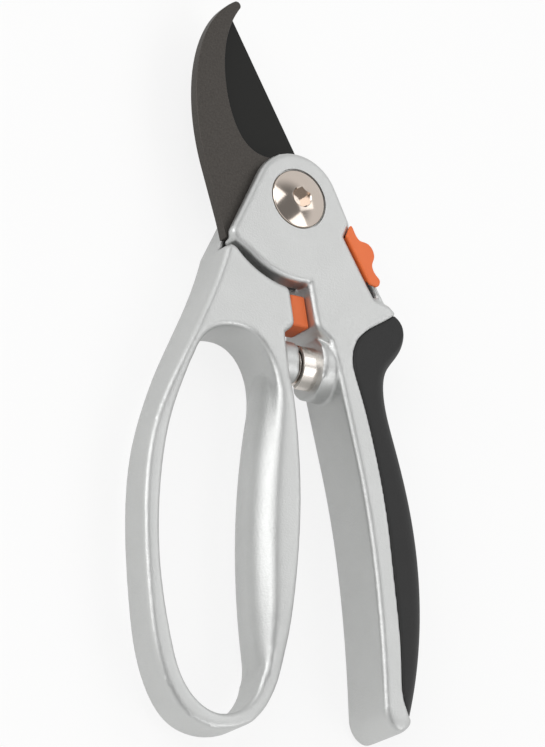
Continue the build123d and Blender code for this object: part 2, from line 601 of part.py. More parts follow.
def thumb_catch():
    """Sliding thumb catch: the tab on the head's edge, its web, and its tongue under the head plate."""
    outline = make_face([
        Line(catch_place(*CATCH_TOP), catch_place(*CATCH_FOOT)),
        Line(catch_place(*CATCH_FOOT), catch_place(*CATCH_PROFILE[0])),
        Spline(*[catch_place(s, n) for s, n in CATCH_PROFILE]),
        Line(catch_place(*CATCH_PROFILE[-1]), catch_place(*CATCH_TOP)),
    ])
    outside = catch_face((NUB_START, NUB_NEAR), (NUB_END, NUB_NEAR),
                         (NUB_END, NOTCH_REACH), (NUB_START, NOTCH_REACH))
    root = catch_face((ROOT_START, ROOT_NEAR), (ROOT_END, ROOT_NEAR),
                      (ROOT_END, ROOT_FAR), (ROOT_START, ROOT_FAR))
    body = slab(outline, TAB_BACK_Z, CATCH_FRONT_Z) + slab(outline & outside, TONGUE_BACK_Z, TAB_BACK_Z)
    body += slab(root, TONGUE_BACK_Z, TAB_BACK_Z)
    body += slab(tongue_face(ROOT_FAR), TONGUE_BACK_Z, TONGUE_FRONT_Z)
    pin = catch_place(CATCH_PIN_S, -CATCH_PIN_REACH)
    body -= disc(CATCH_PIN_RADIUS + FIXED_FIT, TONGUE_BACK_Z - OVERCUT, CATCH_PIN_TOP_Z, pin)
    for click in (0, CATCH_TRAVEL):
        middle = TONGUE_START + TONGUE_WIDTH / 2 - click
        place = catch_place(middle, DETENT_NOTCH_DEPTH - TONGUE_REACH - DETENT_RADIUS)
        body -= disc(DETENT_RADIUS, TONGUE_BACK_Z - OVERCUT, TONGUE_FRONT_Z + OVERCUT, place)
    return body


def catch_pin():
    """Steel pin from the catch's tongue into the loop casting's window."""
    place = catch_place(CATCH_PIN_S, -CATCH_PIN_REACH)
    return disc(CATCH_PIN_RADIUS, CATCH_PIN_END_Z, CATCH_PIN_TOP_Z, place)


def lobe_radius():
    """Radius of the back plate that holds the catch pin's window."""
    farthest = math.hypot(*catch_place(CATCH_PIN_S + CATCH_TRAVEL, -CATCH_PIN_REACH))
    return farthest + CATCH_PIN_RADIUS + PIN_WINDOW_FIT + LOBE_WALL


def lock_window():
    """Window for the catch pin: an arc while the levers turn, and a leg at each end of it."""
    place = catch_place(CATCH_PIN_S, -CATCH_PIN_REACH)
    radius = math.hypot(*place)
    start = math.degrees(math.atan2(place[1], place[0]))
    half = CATCH_PIN_RADIUS + PIN_WINDOW_FIT
    near = arc(radius - half, start, start + OPENING_ANGLE)
    far = arc(radius + half, start, start + OPENING_ANGLE)
    arc_face = make_face([near, Line(near @ 1, far @ 1), far, Line(far @ 0, near @ 0)])
    leg = pin_path(CATCH_PIN_S, CATCH_PIN_S + CATCH_TRAVEL, half)
    return slab(arc_face + leg + turned(leg, OPENING_ANGLE), HEAD_BACK_Z - OVERCUT, BLADE_BACK_Z + OVERCUT)


def palm_swell():
    """Rounded bulge on the palm bar's inner side."""
    low_x, low_y = SWELL_BOTTOM
    top_x, top_y = SWELL_TOP
    length = math.hypot(top_x - low_x, top_y - low_y)
    half_height = HANDLE_THICKNESS / 2 - SWELL_SIDE_INSET
    tube = (half_height ** 2 + SWELL_HEIGHT ** 2) / (2 * SWELL_HEIGHT)
    outline = ((length / 2) ** 2 + SWELL_HEIGHT ** 2) / (2 * SWELL_HEIGHT)
    ring = revolve(Plane.XZ * Pos(tube - outline, 0) * Circle(tube), Axis.Z)
    lean = math.degrees(math.atan2(top_x - low_x, top_y - low_y))
    depth = SWELL_HEIGHT + SWELL_ROOT
    bulge = ring & Pos(depth / 2 - outline, 0, 0) * Box(depth, length, HANDLE_THICKNESS)
    bulge = Pos(outline - SWELL_HEIGHT, 0, 0) * bulge
    return Pos((low_x + top_x) / 2, (low_y + top_y) / 2, MID_Z) * Rot(0, 0, -lean) * bulge


def loop_casting():
    """Loop lever: back plate at the pivot, palm bar, finger guard and spring boss."""
    neck_foot = LOOP_OUTER[-1]
    outer_end = (LOOP_OUTER[0][0] + WEB_OVERLAP, LOOP_OUTER[0][1])
    shoulder = arc(SHOULDER_RADIUS, NECK_ANGLE, angle_of(outer_end))
    frame = make_face([
        Spline(*LOOP_OUTER),
        Line(neck_foot, LOOP_NECK),
        Line(LOOP_NECK, shoulder @ 0),
        shoulder,
        Line(shoulder @ 1, LOOP_OUTER[0]),
    ])
    frame -= make_face(Spline(*LOOP_OPENING, periodic=True))
    full = slab(frame, 0, HANDLE_THICKNESS)
    palm = full & side_shape(PALM_SIDE, low_x=PALM_GUARD_X)
    guard = full & side_shape(GUARD_SIDE, high_x=PALM_GUARD_X)
    body = palm + guard + palm_swell()

    plate = Circle(BACK_DISC_RADIUS)
    rim = arc(lobe_radius(), NECK_ANGLE, LOBE_END_ANGLE)
    lobe = make_face([Line((0, 0), rim @ 0), rim, Line(rim @ 1, (0, 0))])
    web_top = polar(BACK_DISC_RADIUS, WEB_ANGLE)
    web_middle = polar(SHOULDER_RADIUS + WEB_OVERLAP, (NECK_ANGLE + HEEL_START_ANGLE) / 2)
    web_end = polar(SHOULDER_RADIUS + WEB_NECK_OVERLAP, NECK_ANGLE)
    web = make_face([
        Line((0, 0), web_top),
        Line(web_top, LOOP_OUTER[0]),
        Line(LOOP_OUTER[0], web_middle),
        Line(web_middle, web_end),
        Line(web_end, (0, 0)),
    ])
    body += slab(plate + lobe + web, HEAD_BACK_Z, BLADE_BACK_Z)
    rib = make_face(Polyline(web_top, LOOP_OUTER[0], outer_end,
                             (web_top[0] + RIB_WIDTH, web_top[1]), close=True))
    body += slab(rib, HEAD_BACK_Z, BLADE_FRONT_Z)

    body += rod_x(LEFT_BOSS_RADIUS, neck_foot[0] - LEFT_BOSS_ROOT, LEFT_BOSS_X)
    body += rod_x(LEFT_STUD_RADIUS, LEFT_BOSS_X - OVERCUT, LEFT_BOSS_X + LEFT_STUD_LENGTH)

    body -= lock_window()
    body -= disc(BUSH_RADIUS + FIXED_FIT, NUT_SEAT_Z - OVERCUT, BLADE_BACK_Z + OVERCUT)
    body -= disc(NUT_SEAT_RADIUS, HEAD_BACK_Z - OVERCUT, NUT_SEAT_Z)
    seat_z = HEAD_BACK_Z + BLADE_SCREW_SEAT_DEPTH
    for place in BLADE_SCREWS:
        body -= disc(BLADE_SCREW_RADIUS + FIXED_FIT, HEAD_BACK_Z - OVERCUT, BLADE_BACK_Z + OVERCUT, place)
        body -= disc(BLADE_SCREW_HEAD_RADIUS + POCKET_FIT, HEAD_BACK_Z - OVERCUT, seat_z, place)
    return body


def cutting_blade():
    """Ground cutting blade, bevelled on its back."""
    blade = slab(blade_outline(), BLADE_BACK_Z, BLADE_FRONT_Z)
    edge = ThreePointArc(BLADE_EDGE_HEEL, BLADE_EDGE_MIDDLE, BLADE_TIP)
    outside = edge.radius + BEVEL_WIDTH
    section = Polyline((edge.radius - BEVEL_WIDTH, BLADE_BACK_Z), (outside, BLADE_BACK_Z),
                       (outside, BLADE_BACK_Z + 2 * BEVEL_DEPTH), close=True)
    ring = revolve(Plane.XZ * make_face(section), Axis.Z)
    ring = Pos(edge.arc_center.X, edge.arc_center.Y, 0) * ring
    above = Box(REACH, REACH, REACH, align=(Align.CENTER, Align.MIN, Align.CENTER))
    blade -= ring & Pos(0, BLADE_EDGE_HEEL[1], 0) * above
    blade -= disc(BUSH_RADIUS + FIXED_FIT, BLADE_BACK_Z - OVERCUT, BLADE_FRONT_Z + OVERCUT)
    bore = BLADE_SCREW_RADIUS + FIXED_FIT
    for place in BLADE_SCREWS:
        blade -= disc(bore, BLADE_BACK_Z - OVERCUT, BLADE_FRONT_Z + OVERCUT, place)
    return blade


def blade_screws():
    """Two screws from the back that hold the cutting blade."""
    head_back = HEAD_BACK_Z + BLADE_SCREW_HEAD_SINK
    head_front = HEAD_BACK_Z + BLADE_SCREW_SEAT_DEPTH
    screws = []
    for place in BLADE_SCREWS:
        shank = disc(BLADE_SCREW_RADIUS, HEAD_BACK_Z, BLADE_FRONT_Z, place)
        head = disc(BLADE_SCREW_HEAD_RADIUS, head_back, head_front, place)
        screws.append(shank + head)
    return screws


def pivot_bush():
    """Bush that turns on the bolt's shoulder, in the cutting blade and the loop casting."""
    return (disc(BUSH_RADIUS, NUT_SEAT_Z, BLADE_FRONT_Z)
            - disc(BOLT_SHOULDER_RADIUS + RUNNING_FIT, NUT_SEAT_Z - OVERCUT, BLADE_FRONT_Z + OVERCUT))


def volute_spring():
    """Volute spring: one strip wound in a spiral, each coil standing out of the next."""
    inner = SPRING_RADIUS - SPRING_STRIP - SPRING_TURNS * SPRING_PITCH
    count = round(SPRING_TURNS * SPRING_STEPS)
    inside = []
    outside = []
    for step in range(count + 1):
        turn = step / SPRING_STEPS
        radius = inner + turn * SPRING_PITCH
        inside.append(polar(radius, 360 * turn))
        outside.append(polar(radius + SPRING_STRIP, 360 * turn))
    spiral = make_face([Spline(*inside), Line(inside[-1], outside[-1]),
                        Spline(*reversed(outside)), Line(outside[0], inside[0])])
    length = SOCKET_FLOOR_X - LEFT_BOSS_X
    stagger = length - SPRING_STRIP_WIDTH
    strip = extrude(spiral, length)
    slope = stagger / (SPRING_RADIUS - inner)
    section = Polyline((inner - OVERCUT, -slope), (SPRING_RADIUS + OVERCUT, stagger + slope),
                       (SPRING_RADIUS + OVERCUT, stagger + slope + SPRING_STRIP_WIDTH),
                       (inner - OVERCUT, SPRING_STRIP_WIDTH - slope), close=True)
    cone = revolve(Plane.XZ * make_face(section), Axis.Z)
    return Pos(LEFT_BOSS_X, SPRING_Y, MID_Z) * Rot(0, 90, 0) * (strip & cone)


PIECES = {
    "grip_casting": grip_casting,
    "soft_grip": soft_grip,
    "counter_blade": counter_blade,
    "counter_blade_pins": counter_blade_pins,
    "pivot_bolt": pivot_bolt,
    "pivot_nut": pivot_nut,
    "pivot_washer": pivot_washer,
    "disc_spring": disc_spring,
    "bumper": bumper,
    "catch_retainer": catch_retainer,
    "retainer_screws": retainer_screws,
    "detent_ball": detent_ball,
    "detent_spring": detent_spring,
    "thumb_catch": thumb_catch,
    "catch_pin": catch_pin,
    "loop_casting": loop_casting,
    "cutting_blade": cutting_blade,
    "blade_screws": blade_screws,
    "pivot_bush": pivot_bush,
    "volute_spring": volute_spring,
}

os.makedirs("parts", exist_ok=True)
for name, make in PIECES.items():
    made = make()
    solids = made if isinstance(made, list) else made.solids()
    shape = solids[0] if len(solids) == 1 else Compound(children=solids)
    export_step(shape, f"parts/{name}.step")
    print(name, len(solids), round(sum(solid.volume for solid in solids), 1))
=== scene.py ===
import json
import logging
import math
from collections.abc import Callable, Iterable
from dataclasses import dataclass, field
from enum import Enum

import bmesh
import bpy
from mathutils import Matrix, Vector


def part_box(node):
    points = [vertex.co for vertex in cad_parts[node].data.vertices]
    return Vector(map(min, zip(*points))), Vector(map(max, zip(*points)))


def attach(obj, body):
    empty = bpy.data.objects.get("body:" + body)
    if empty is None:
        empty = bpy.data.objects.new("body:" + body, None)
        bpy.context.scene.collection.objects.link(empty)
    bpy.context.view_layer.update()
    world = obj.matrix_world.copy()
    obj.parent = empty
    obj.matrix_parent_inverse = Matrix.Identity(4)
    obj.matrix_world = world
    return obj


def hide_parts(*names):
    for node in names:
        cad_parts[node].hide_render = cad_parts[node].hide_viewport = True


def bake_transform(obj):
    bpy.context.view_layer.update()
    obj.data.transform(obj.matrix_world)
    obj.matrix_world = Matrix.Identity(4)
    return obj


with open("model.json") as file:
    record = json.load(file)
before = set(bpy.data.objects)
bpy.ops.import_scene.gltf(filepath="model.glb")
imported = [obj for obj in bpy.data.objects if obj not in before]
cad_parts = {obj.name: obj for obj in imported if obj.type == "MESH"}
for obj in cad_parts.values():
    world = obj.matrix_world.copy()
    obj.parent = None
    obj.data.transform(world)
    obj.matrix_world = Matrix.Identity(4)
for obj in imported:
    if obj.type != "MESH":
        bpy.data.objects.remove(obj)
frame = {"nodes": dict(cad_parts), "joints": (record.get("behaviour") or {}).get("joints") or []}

LOG = logging.getLogger("pruning_shears")
MM = 0.001
SLIVER = 0.01              # share of a width that counts as none
MERGE_DISTANCE = 1e-6      # metres
OVERCUT_MM = 1.0           # how far a cutter runs past what it cuts
CURVE_STEPS = 24           # faces along a curved cutter
SHANK_SIDES = 48           # sides of round cutters and plugs, from a screw's shank
SEAT_SIDES = 64
BORE_SIDES = 96
COUNTERBORE_SIDES = 128    # to the counterbore of the bolt's head


class Body(Enum):
    """Rigid bodies of the shears."""

    GRIP = "grip_lever"
    LOOP = "loop_lever"
    CATCH = "thumb_catch"


# ---------------------------------------------------------------------------------------------------
# materials
# ---------------------------------------------------------------------------------------------------


def linear(hex_colour: str) -> tuple[float, float, float, float]:
    """Turn an sRGB hex colour into linear light.

    Args:
        hex_colour: Six hex digits, with or without a hash.

    Returns:
        Red, green, blue and an alpha of 1.
    """
    digits = hex_colour.lstrip("#")
    channels = []
    for start in (0, 2, 4):
        value = int(digits[start:start + 2], 16) / 255
        channels.append(value / 12.92 if value <= 0.04045 else ((value + 0.055) / 1.055) ** 2.4)
    return (channels[0], channels[1], channels[2], 1.0)


def add_node(tree: bpy.types.NodeTree, kind: str, settings: dict | None = None,
             links: dict | None = None) -> bpy.types.Node:
    """Add a node with its settings and links.

    Args:
        tree: Node tree that gets the node.
        kind: Blender's type name of the node.
        settings: Attribute names, or socket names after "in:", and their values.
        links: Input socket names or numbers, and the output sockets that feed them.

    Returns:
        The new node.
    """
    node = tree.nodes.new(kind)
    for key, value in (settings or {}).items():
        if key.startswith("in:"):
            name = key[3:]
            node.inputs[int(name) if name.isdigit() else name].default_value = value
        else:
            setattr(node, key, value)
    for name, source in (links or {}).items():
        tree.links.new(source, node.inputs[name])
    return node


@dataclass(frozen=True)
class Finish:
    """What every finish shares: a base colour, a grain that breaks it up, and a fine bump.

    Attributes:
        name: Name of the material.
        colour: Its colour as sRGB hex digits.
        dark: The darker colour of its mottle.
        metallic: 1 for a metal and 0 for the rest.
        roughness: Middle of its roughness.
        roughness_spread: How far the grain moves the roughness either way.
        grain_mm: Size of the grain in millimetres.
        mottle_mm: Size of the mottle in millimetres.
        bump_mm: Height of the bump in millimetres.
        ior: Index of refraction.
    """

    name: str
    colour: str
    dark: str
    metallic: float
    roughness: float
    roughness_spread: float
    grain_mm: float
    mottle_mm: float
    bump_mm: float
    ior: float = 1.5

    def material(self) -> bpy.types.Material:
        """The finish's material, made the first time that it is asked for.

        Returns:
            The material.
        """
        return bpy.data.materials.get(self.name) or self.build()

    def build(self) -> bpy.types.Material:
        """Make the material.

        Returns:
            The new material.
        """
        material = bpy.data.materials.new(self.name)
        material.use_nodes = True
        tree = material.node_tree
        tree.nodes.clear()
        place = add_node(tree, "ShaderNodeTexCoord").outputs["Object"]
        mottle = self.mottle(tree, place)
        colour = add_node(tree, "ShaderNodeMix", {"data_type": "RGBA", "in:6": linear(self.dark),
                                                  "in:7": linear(self.colour)}, {0: mottle})
        low = self.roughness - self.roughness_spread
        high = self.roughness + self.roughness_spread
        rough = add_node(tree, "ShaderNodeMapRange", {"in:To Min": low, "in:To Max": high},
                         {"Value": self.grain(tree, place)})
        bump = add_node(tree, "ShaderNodeBump", {"in:Strength": 1.0, "in:Distance": self.bump_mm * MM},
                        {"Height": self.relief(tree, place)})
        shader = add_node(tree, "ShaderNodeBsdfPrincipled",
                          {"in:Metallic": self.metallic, "in:IOR": self.ior},
                          {"Base Color": colour.outputs[2], "Roughness": rough.outputs[0],
                           "Normal": bump.outputs[0]})
        add_node(tree, "ShaderNodeOutputMaterial", links={"Surface": shader.outputs[0]})
        return material

    def noise(self, tree: bpy.types.NodeTree, place: bpy.types.NodeSocket, size_mm: float,
              detail: float) -> bpy.types.NodeSocket:
        """Noise whose features are about this size.

        Args:
            tree: Node tree of the material.
            place: Coordinates in metres.
            size_mm: Size of a feature in millimetres.
            detail: Octaves of finer noise.

        Returns:
            The noise, from 0 to 1.
        """
        node = add_node(tree, "ShaderNodeTexNoise", {"in:Scale": 1 / (size_mm * MM), "in:Detail": detail},
                        {"Vector": place})
        return node.outputs[0]

    def mottle(self, tree: bpy.types.NodeTree, place: bpy.types.NodeSocket) -> bpy.types.NodeSocket:
        """Large soft variation of the colour."""
        return self.noise(tree, place, self.mottle_mm, 3)

    def grain(self, tree: bpy.types.NodeTree, place: bpy.types.NodeSocket) -> bpy.types.NodeSocket:
        """Fine variation of the roughness."""
        return self.noise(tree, place, self.grain_mm, 2)

    def relief(self, tree: bpy.types.NodeTree, place: bpy.types.NodeSocket) -> bpy.types.NodeSocket:
        """Height of the surface's texture."""
        return self.noise(tree, place, self.grain_mm, 2)


# Die-cast aluminium, shot-blasted and lacquered: an even silver with a fine sparkling grain. Grit
# leaves pits of 0.2 mm, drawn at 0.5 mm so that they show.
CAST_ALUMINIUM = Finish("blasted_aluminium", "#D0D1D0", "#C7C8C7", 0.92, 0.44, 0.1, 0.5, 9.0, 0.055)
# Thermoplastic elastomer, moulded in a spark-eroded tool: matte black with a fine leathery texture.
SOFT_ELASTOMER = Finish("moulded_elastomer", "#1D1D1D", "#161616", 0.0, 0.58, 0.06, 0.45, 6.0, 0.04, 1.5)
# Carbon steel, ground and then blackened: a grey-brown with a fine mottled grain.
BLACKENED_STEEL = Finish("blackened_hook_steel", "#5C5854", "#403D3A", 0.85, 0.5, 0.08, 0.4, 0.5, 0.03)
# Hardened carbon steel with a slippery dark fluoropolymer coat, smooth and low in contrast. Such a
# coat bends light little, so it reflects little.
COATED_STEEL = Finish("coated_blade_steel", "#141411", "#11110F", 0.0, 0.5, 0.04, 0.5, 8.0, 0.002, 1.35)
# Steel with polished nickel plate: a warm mirror with the faintest waviness.
POLISHED_NICKEL = Finish("polished_nickel_plate", "#DCD0C6", "#D5C8BC", 1.0, 0.13, 0.01, 1.2, 5.0, 0.001)
# Glass-filled nylon, moulded: an even orange with a fine matte skin.
ORANGE_NYLON = Finish("moulded_orange_nylon", "#EC753A", "#E66C34", 0.0, 0.5, 0.05, 0.3, 5.0, 0.006, 1.53)
# Polyurethane rubber, cast: the same orange, duller and a little softer in its shine.
ORANGE_RUBBER = Finish("cast_orange_rubber", "#EE7940", "#E56E3A", 0.0, 0.6, 0.05, 0.4, 4.0, 0.006, 1.5)
# Spring steel strip, satin nickel plated.
NICKEL = Finish("satin_nickel_spring", "#F0E9E2", "#E6DFD8", 1.0, 0.24, 0.05, 0.4, 3.0, 0.003)
# Turned mild steel, zinc plated: pale bluish grey with a soft shine.
ZINC = Finish("zinc_plated_steel", "#BFC3C6", "#ADB1B4", 1.0, 0.32, 0.06, 0.5, 2.5, 0.003)
# Sintered tin bronze, as bushes are made of: warm and slightly porous.
BRONZE = Finish("sintered_bronze", "#B08A56", "#97733F", 1.0, 0.38, 0.06, 0.25, 2.0, 0.006)


@dataclass(frozen=True)
class Wardrobe:
    """Which finish each node of the shears has.

    Attributes:
        finishes: The finish of each node, by the node's name.
    """

    finishes: dict[str, Finish] = field(default_factory=lambda: {
        "grip_casting": CAST_ALUMINIUM, "loop_casting": CAST_ALUMINIUM,
        "soft_grip": SOFT_ELASTOMER, "counter_blade": BLACKENED_STEEL,
        "cutting_blade": COATED_STEEL, "pivot_bolt": POLISHED_NICKEL, "detent_ball": POLISHED_NICKEL,
        "bumper": ORANGE_RUBBER, "thumb_catch": ORANGE_NYLON, "volute_spring": NICKEL,
        "detent_spring": NICKEL, "disc_spring": NICKEL, "pivot_bush": BRONZE,
        "counter_blade_pins": ZINC, "pivot_nut": ZINC, "pivot_washer": ZINC,
        "catch_retainer": ZINC, "retainer_screws": ZINC, "catch_pin": ZINC, "blade_screws": ZINC,
    })

    def dress_nodes(self) -> None:
        """Give every CAD node its material."""
        for node, finish in self.finishes.items():
            mesh = frame["nodes"][node].data
            mesh.materials.clear()
            mesh.materials.append(finish.material())
            LOG.info("%s: %s", node, finish.name)


# ---------------------------------------------------------------------------------------------------
# modelling
# ---------------------------------------------------------------------------------------------------

EdgeRule = Callable[[bmesh.types.BMEdge], bool]
CORNER_TURN = math.radians(28)     # least turn between the two faces of a corner
RIM_WALL_MOST = 0.5                # most that a wall's normal may point along Z beside a rim
RIM_FLAT_LEAST = 0.9               # least that a front or back face's normal points along Z
UPRIGHT_WALL_MOST = 0.3            # as the first, for the two walls of an upright edge


def take_up(piece: bpy.types.Object) -> None:
    """Deselect everything, then select this piece and make it active.

    Args:
        piece: The piece to work on.
    """
    bpy.ops.object.select_all(action="DESELECT")
    piece.select_set(True)
    bpy.context.view_layer.objects.active = piece


def merged_copy(node: str, name: str) -> bpy.types.Object:
    """Copy a CAD node's mesh, with its loose triangles merged into whole faces.

    Args:
        node: Name of the CAD node.
        name: Name of the new piece.

    Returns:
        The new piece.
    """
    source = frame["nodes"][node]
    piece = bpy.data.objects.new(name, source.data.copy())
    piece.matrix_world = source.matrix_world
    bpy.context.collection.objects.link(piece)
    take_up(piece)
    bpy.ops.object.mode_set(mode="EDIT")
    bpy.ops.mesh.select_all(action="SELECT")
    bpy.ops.mesh.remove_doubles(threshold=MERGE_DISTANCE)
    bpy.ops.mesh.dissolve_limited(angle_limit=math.radians(1))
    bpy.ops.object.mode_set(mode="OBJECT")
    return piece


def round_edges(piece: bpy.types.Object, rule: EdgeRule, width_mm: float, segments: int = 3) -> None:
    """Bevel the edges that a rule picks.

    Args:
        piece: The piece.
        rule: Tells which edges, out of those between two faces.
        width_mm: Width of the rounding in millimetres.
        segments: Faces across the rounding.
    """
    take_up(piece)
    bpy.ops.object.mode_set(mode="EDIT")
    bpy.ops.mesh.select_mode(type="EDGE")
    bpy.ops.mesh.select_all(action="DESELECT")
    shape = bmesh.from_edit_mesh(piece.data)
    for edge in shape.edges:
        if len(edge.link_faces) == 2 and rule(edge):
            edge.select = True
    bmesh.update_edit_mesh(piece.data)
    bpy.ops.mesh.bevel(offset=width_mm * MM, segments=segments, profile=0.5, affect="EDGES",
                       clamp_overlap=False, loop_slide=True)
    bpy.ops.object.mode_set(mode="OBJECT")


def even_skin(piece: bpy.types.Object, grid_mm: float, passes: int) -> None:
    """Give a piece one even skin, and smooth it as a casting's is.

    Args:
        piece: The piece.
        grid_mm: Size of the skin's faces in millimetres.
        passes: Rounds of smoothing.
    """
    take_up(piece)
    skin = piece.modifiers.new("skin", "REMESH")
    skin.mode = "VOXEL"
    skin.voxel_size = grid_mm * MM
    bpy.ops.object.modifier_apply(modifier=skin.name)
    smooth(piece, passes)


def smooth(piece: bpy.types.Object, passes: int, group: str = "") -> None:
    """Smooth the skin of the active piece.

    Args:
        piece: The piece.
        passes: Rounds of smoothing.
        group: Vertex group that is smoothed, or none for the whole piece.
    """
    soft = piece.modifiers.new("soft", "SMOOTH")
    soft.factor = 0.5
    soft.iterations = passes
    soft.vertex_group = group
    bpy.ops.object.modifier_apply(modifier=soft.name)


def soften(piece: bpy.types.Object, weight: Callable[[Vector], float], passes: int) -> None:
    """Smooth a part of a piece's skin.

    Args:
        piece: The piece.
        weight: Gives how far a place is smoothed, from 0 to 1.
        passes: Rounds of smoothing.
    """
    group = piece.vertex_groups.new(name="soft")
    for vertex in piece.data.vertices:
        share = weight(vertex.co)
        if share > 0:
            group.add([vertex.index], share, "REPLACE")
    take_up(piece)
    smooth(piece, passes, group.name)
    piece.vertex_groups.clear()


def weigh_normals(piece: bpy.types.Object, degrees: float) -> None:
    """Smooth shading that keeps flat faces flat and edges sharper than an angle.

    Args:
        piece: The piece.
        degrees: The angle between two faces from which an edge stays sharp.
    """
    take_up(piece)
    bpy.ops.object.shade_smooth_by_angle(angle=math.radians(degrees))
    weights = piece.modifiers.new("weights", "WEIGHTED_NORMAL")
    weights.keep_sharp = True
    bpy.ops.object.modifier_apply(modifier=weights.name)


def edge_middle(edge: bmesh.types.BMEdge) -> Vector:
    """Middle of an edge."""
    return (edge.verts[0].co + edge.verts[1].co) / 2


def from_pivot(edge: bmesh.types.BMEdge) -> float:
    """Distance of an edge's middle from the pivot axis, in millimetres."""
    middle = edge_middle(edge)
    return math.hypot(middle.x, middle.y) / MM


def joint(name: str) -> dict:
    """The frame's joint of this name."""
    return next(item for item in frame["joints"] if item["name"] == name)


def on_rim(edge: bmesh.types.BMEdge) -> bool:
    """Whether an edge stands out between a front or back face and a wall."""
    wall, flat = sorted(abs(face.normal.z) for face in edge.link_faces)
    return edge.is_convex and wall < RIM_WALL_MOST and flat > RIM_FLAT_LEAST


def upright(edge: bmesh.types.BMEdge) -> bool:
    """Whether an edge stands out between two walls that meet at a corner."""
    steepest = max(abs(face.normal.z) for face in edge.link_faces)
    return steepest < UPRIGHT_WALL_MOST and corner(edge)


def corner(edge: bmesh.types.BMEdge) -> bool:
    """Whether an edge stands out at a clear angle."""
    turn = edge.link_faces[0].normal.angle(edge.link_faces[1].normal, 0.0)
    return edge.is_convex and turn > CORNER_TURN


def turned_piece(name: str, profile_mm: Iterable[tuple[float, float]], axis: Vector = Vector((0, 0, 1)),
                 centre: Vector = Vector((0, 0, 0)), steps: int = 96) -> bpy.types.Object:
    """Spin a profile into a turned piece.

    Args:
        name: Name of the piece.
        profile_mm: Radius and height of each point, from one end of the axis to the other.
        axis: Direction of the axis.
        centre: Point on the axis where the height is zero, in metres.
        steps: Faces round the piece.

    Returns:
        The new piece.
    """
    side = axis.orthogonal().normalized()
    points = [centre + (side * radius + axis * height) * MM for radius, height in profile_mm]
    bpy.ops.object.select_all(action="DESELECT")
    bpy.ops.mesh.primitive_plane_add(size=MM, location=points[0])
    piece = bpy.context.object
    piece.name = name
    bpy.ops.object.transform_apply(location=True, rotation=True, scale=True)
    bpy.ops.object.mode_set(mode="EDIT")
    bpy.ops.mesh.select_mode(type="VERT")
    bpy.ops.mesh.select_all(action="SELECT")
    bpy.ops.mesh.merge(type="CENTER")
    for start, end in zip(points, points[1:]):
        bpy.ops.mesh.extrude_vertices_move(TRANSFORM_OT_translate={"value": end - start})
    bpy.ops.mesh.select_all(action="SELECT")
    bpy.ops.mesh.spin(steps=steps, angle=math.tau, center=centre, axis=axis)
    bpy.ops.mesh.select_all(action="SELECT")
    bpy.ops.mesh.remove_doubles(threshold=MERGE_DISTANCE)
    bpy.ops.mesh.normals_make_consistent(inside=False)
    bpy.ops.object.mode_set(mode="OBJECT")
    return piece


def prism(name: str, sides: int, across_flats_mm: float, low_mm: float, high_mm: float,
          place: tuple[float, float] = (0.0, 0.0), turn: float = 0.0) -> bpy.types.Object:
    """Prism along Z.

    Args:
        name: Name of the piece.
        sides: Number of its sides.
        across_flats_mm: Distance between two opposite sides in millimetres.
        low_mm: Height of its lower end in millimetres.
        high_mm: Height of its upper end in millimetres.
        place: Its middle in millimetres.
        turn: Its turn in degrees.

    Returns:
        The new piece.
    """
    bpy.ops.object.select_all(action="DESELECT")
    radius = across_flats_mm / 2 / math.cos(math.pi / sides) * MM
    middle = (place[0] * MM, place[1] * MM, (low_mm + high_mm) / 2 * MM)
    bpy.ops.mesh.primitive_cylinder_add(vertices=sides, radius=radius, depth=(high_mm - low_mm) * MM,
                                        location=middle, rotation=(0, 0, math.radians(turn)))
    piece = bpy.context.object
    piece.name = name
    bpy.ops.object.transform_apply(location=True, rotation=True, scale=True)
    return piece


def slot(name: str, ends_mm: tuple[Vector, Vector], half_mm: float, low_mm: float,
         high_mm: float) -> bpy.types.Object:
    """Straight bar along Z with round ends, as a slot is milled.

    Args:
        name: Name of the piece.
        ends_mm: Middles of its two ends in millimetres.
        half_mm: Half its width in millimetres.
        low_mm: Height of its lower end in millimetres.
        high_mm: Height of its upper end in millimetres.

    Returns:
        The new piece.
    """
    start, end = ends_mm
    run = end - start
    turn = math.degrees(math.atan2(run.y, run.x))
    piece = prism(name, SEAT_SIDES, 2 * half_mm, low_mm, high_mm, (start.x, start.y), turn)
    bpy.ops.object.mode_set(mode="EDIT")
    bpy.ops.mesh.select_mode(type="VERT")
    bpy.ops.mesh.select_all(action="DESELECT")
    shape = bmesh.from_edit_mesh(piece.data)
    for vertex in shape.verts:
        offset = Vector((vertex.co.x / MM - start.x, vertex.co.y / MM - start.y))
        vertex.select = offset.dot(run.xy) > half_mm * SLIVER
    shape.select_flush_mode()
    bmesh.update_edit_mesh(piece.data)
    bpy.ops.transform.translate(value=(run.x * MM, run.y * MM, 0))
    bpy.ops.object.mode_set(mode="OBJECT")
    return piece


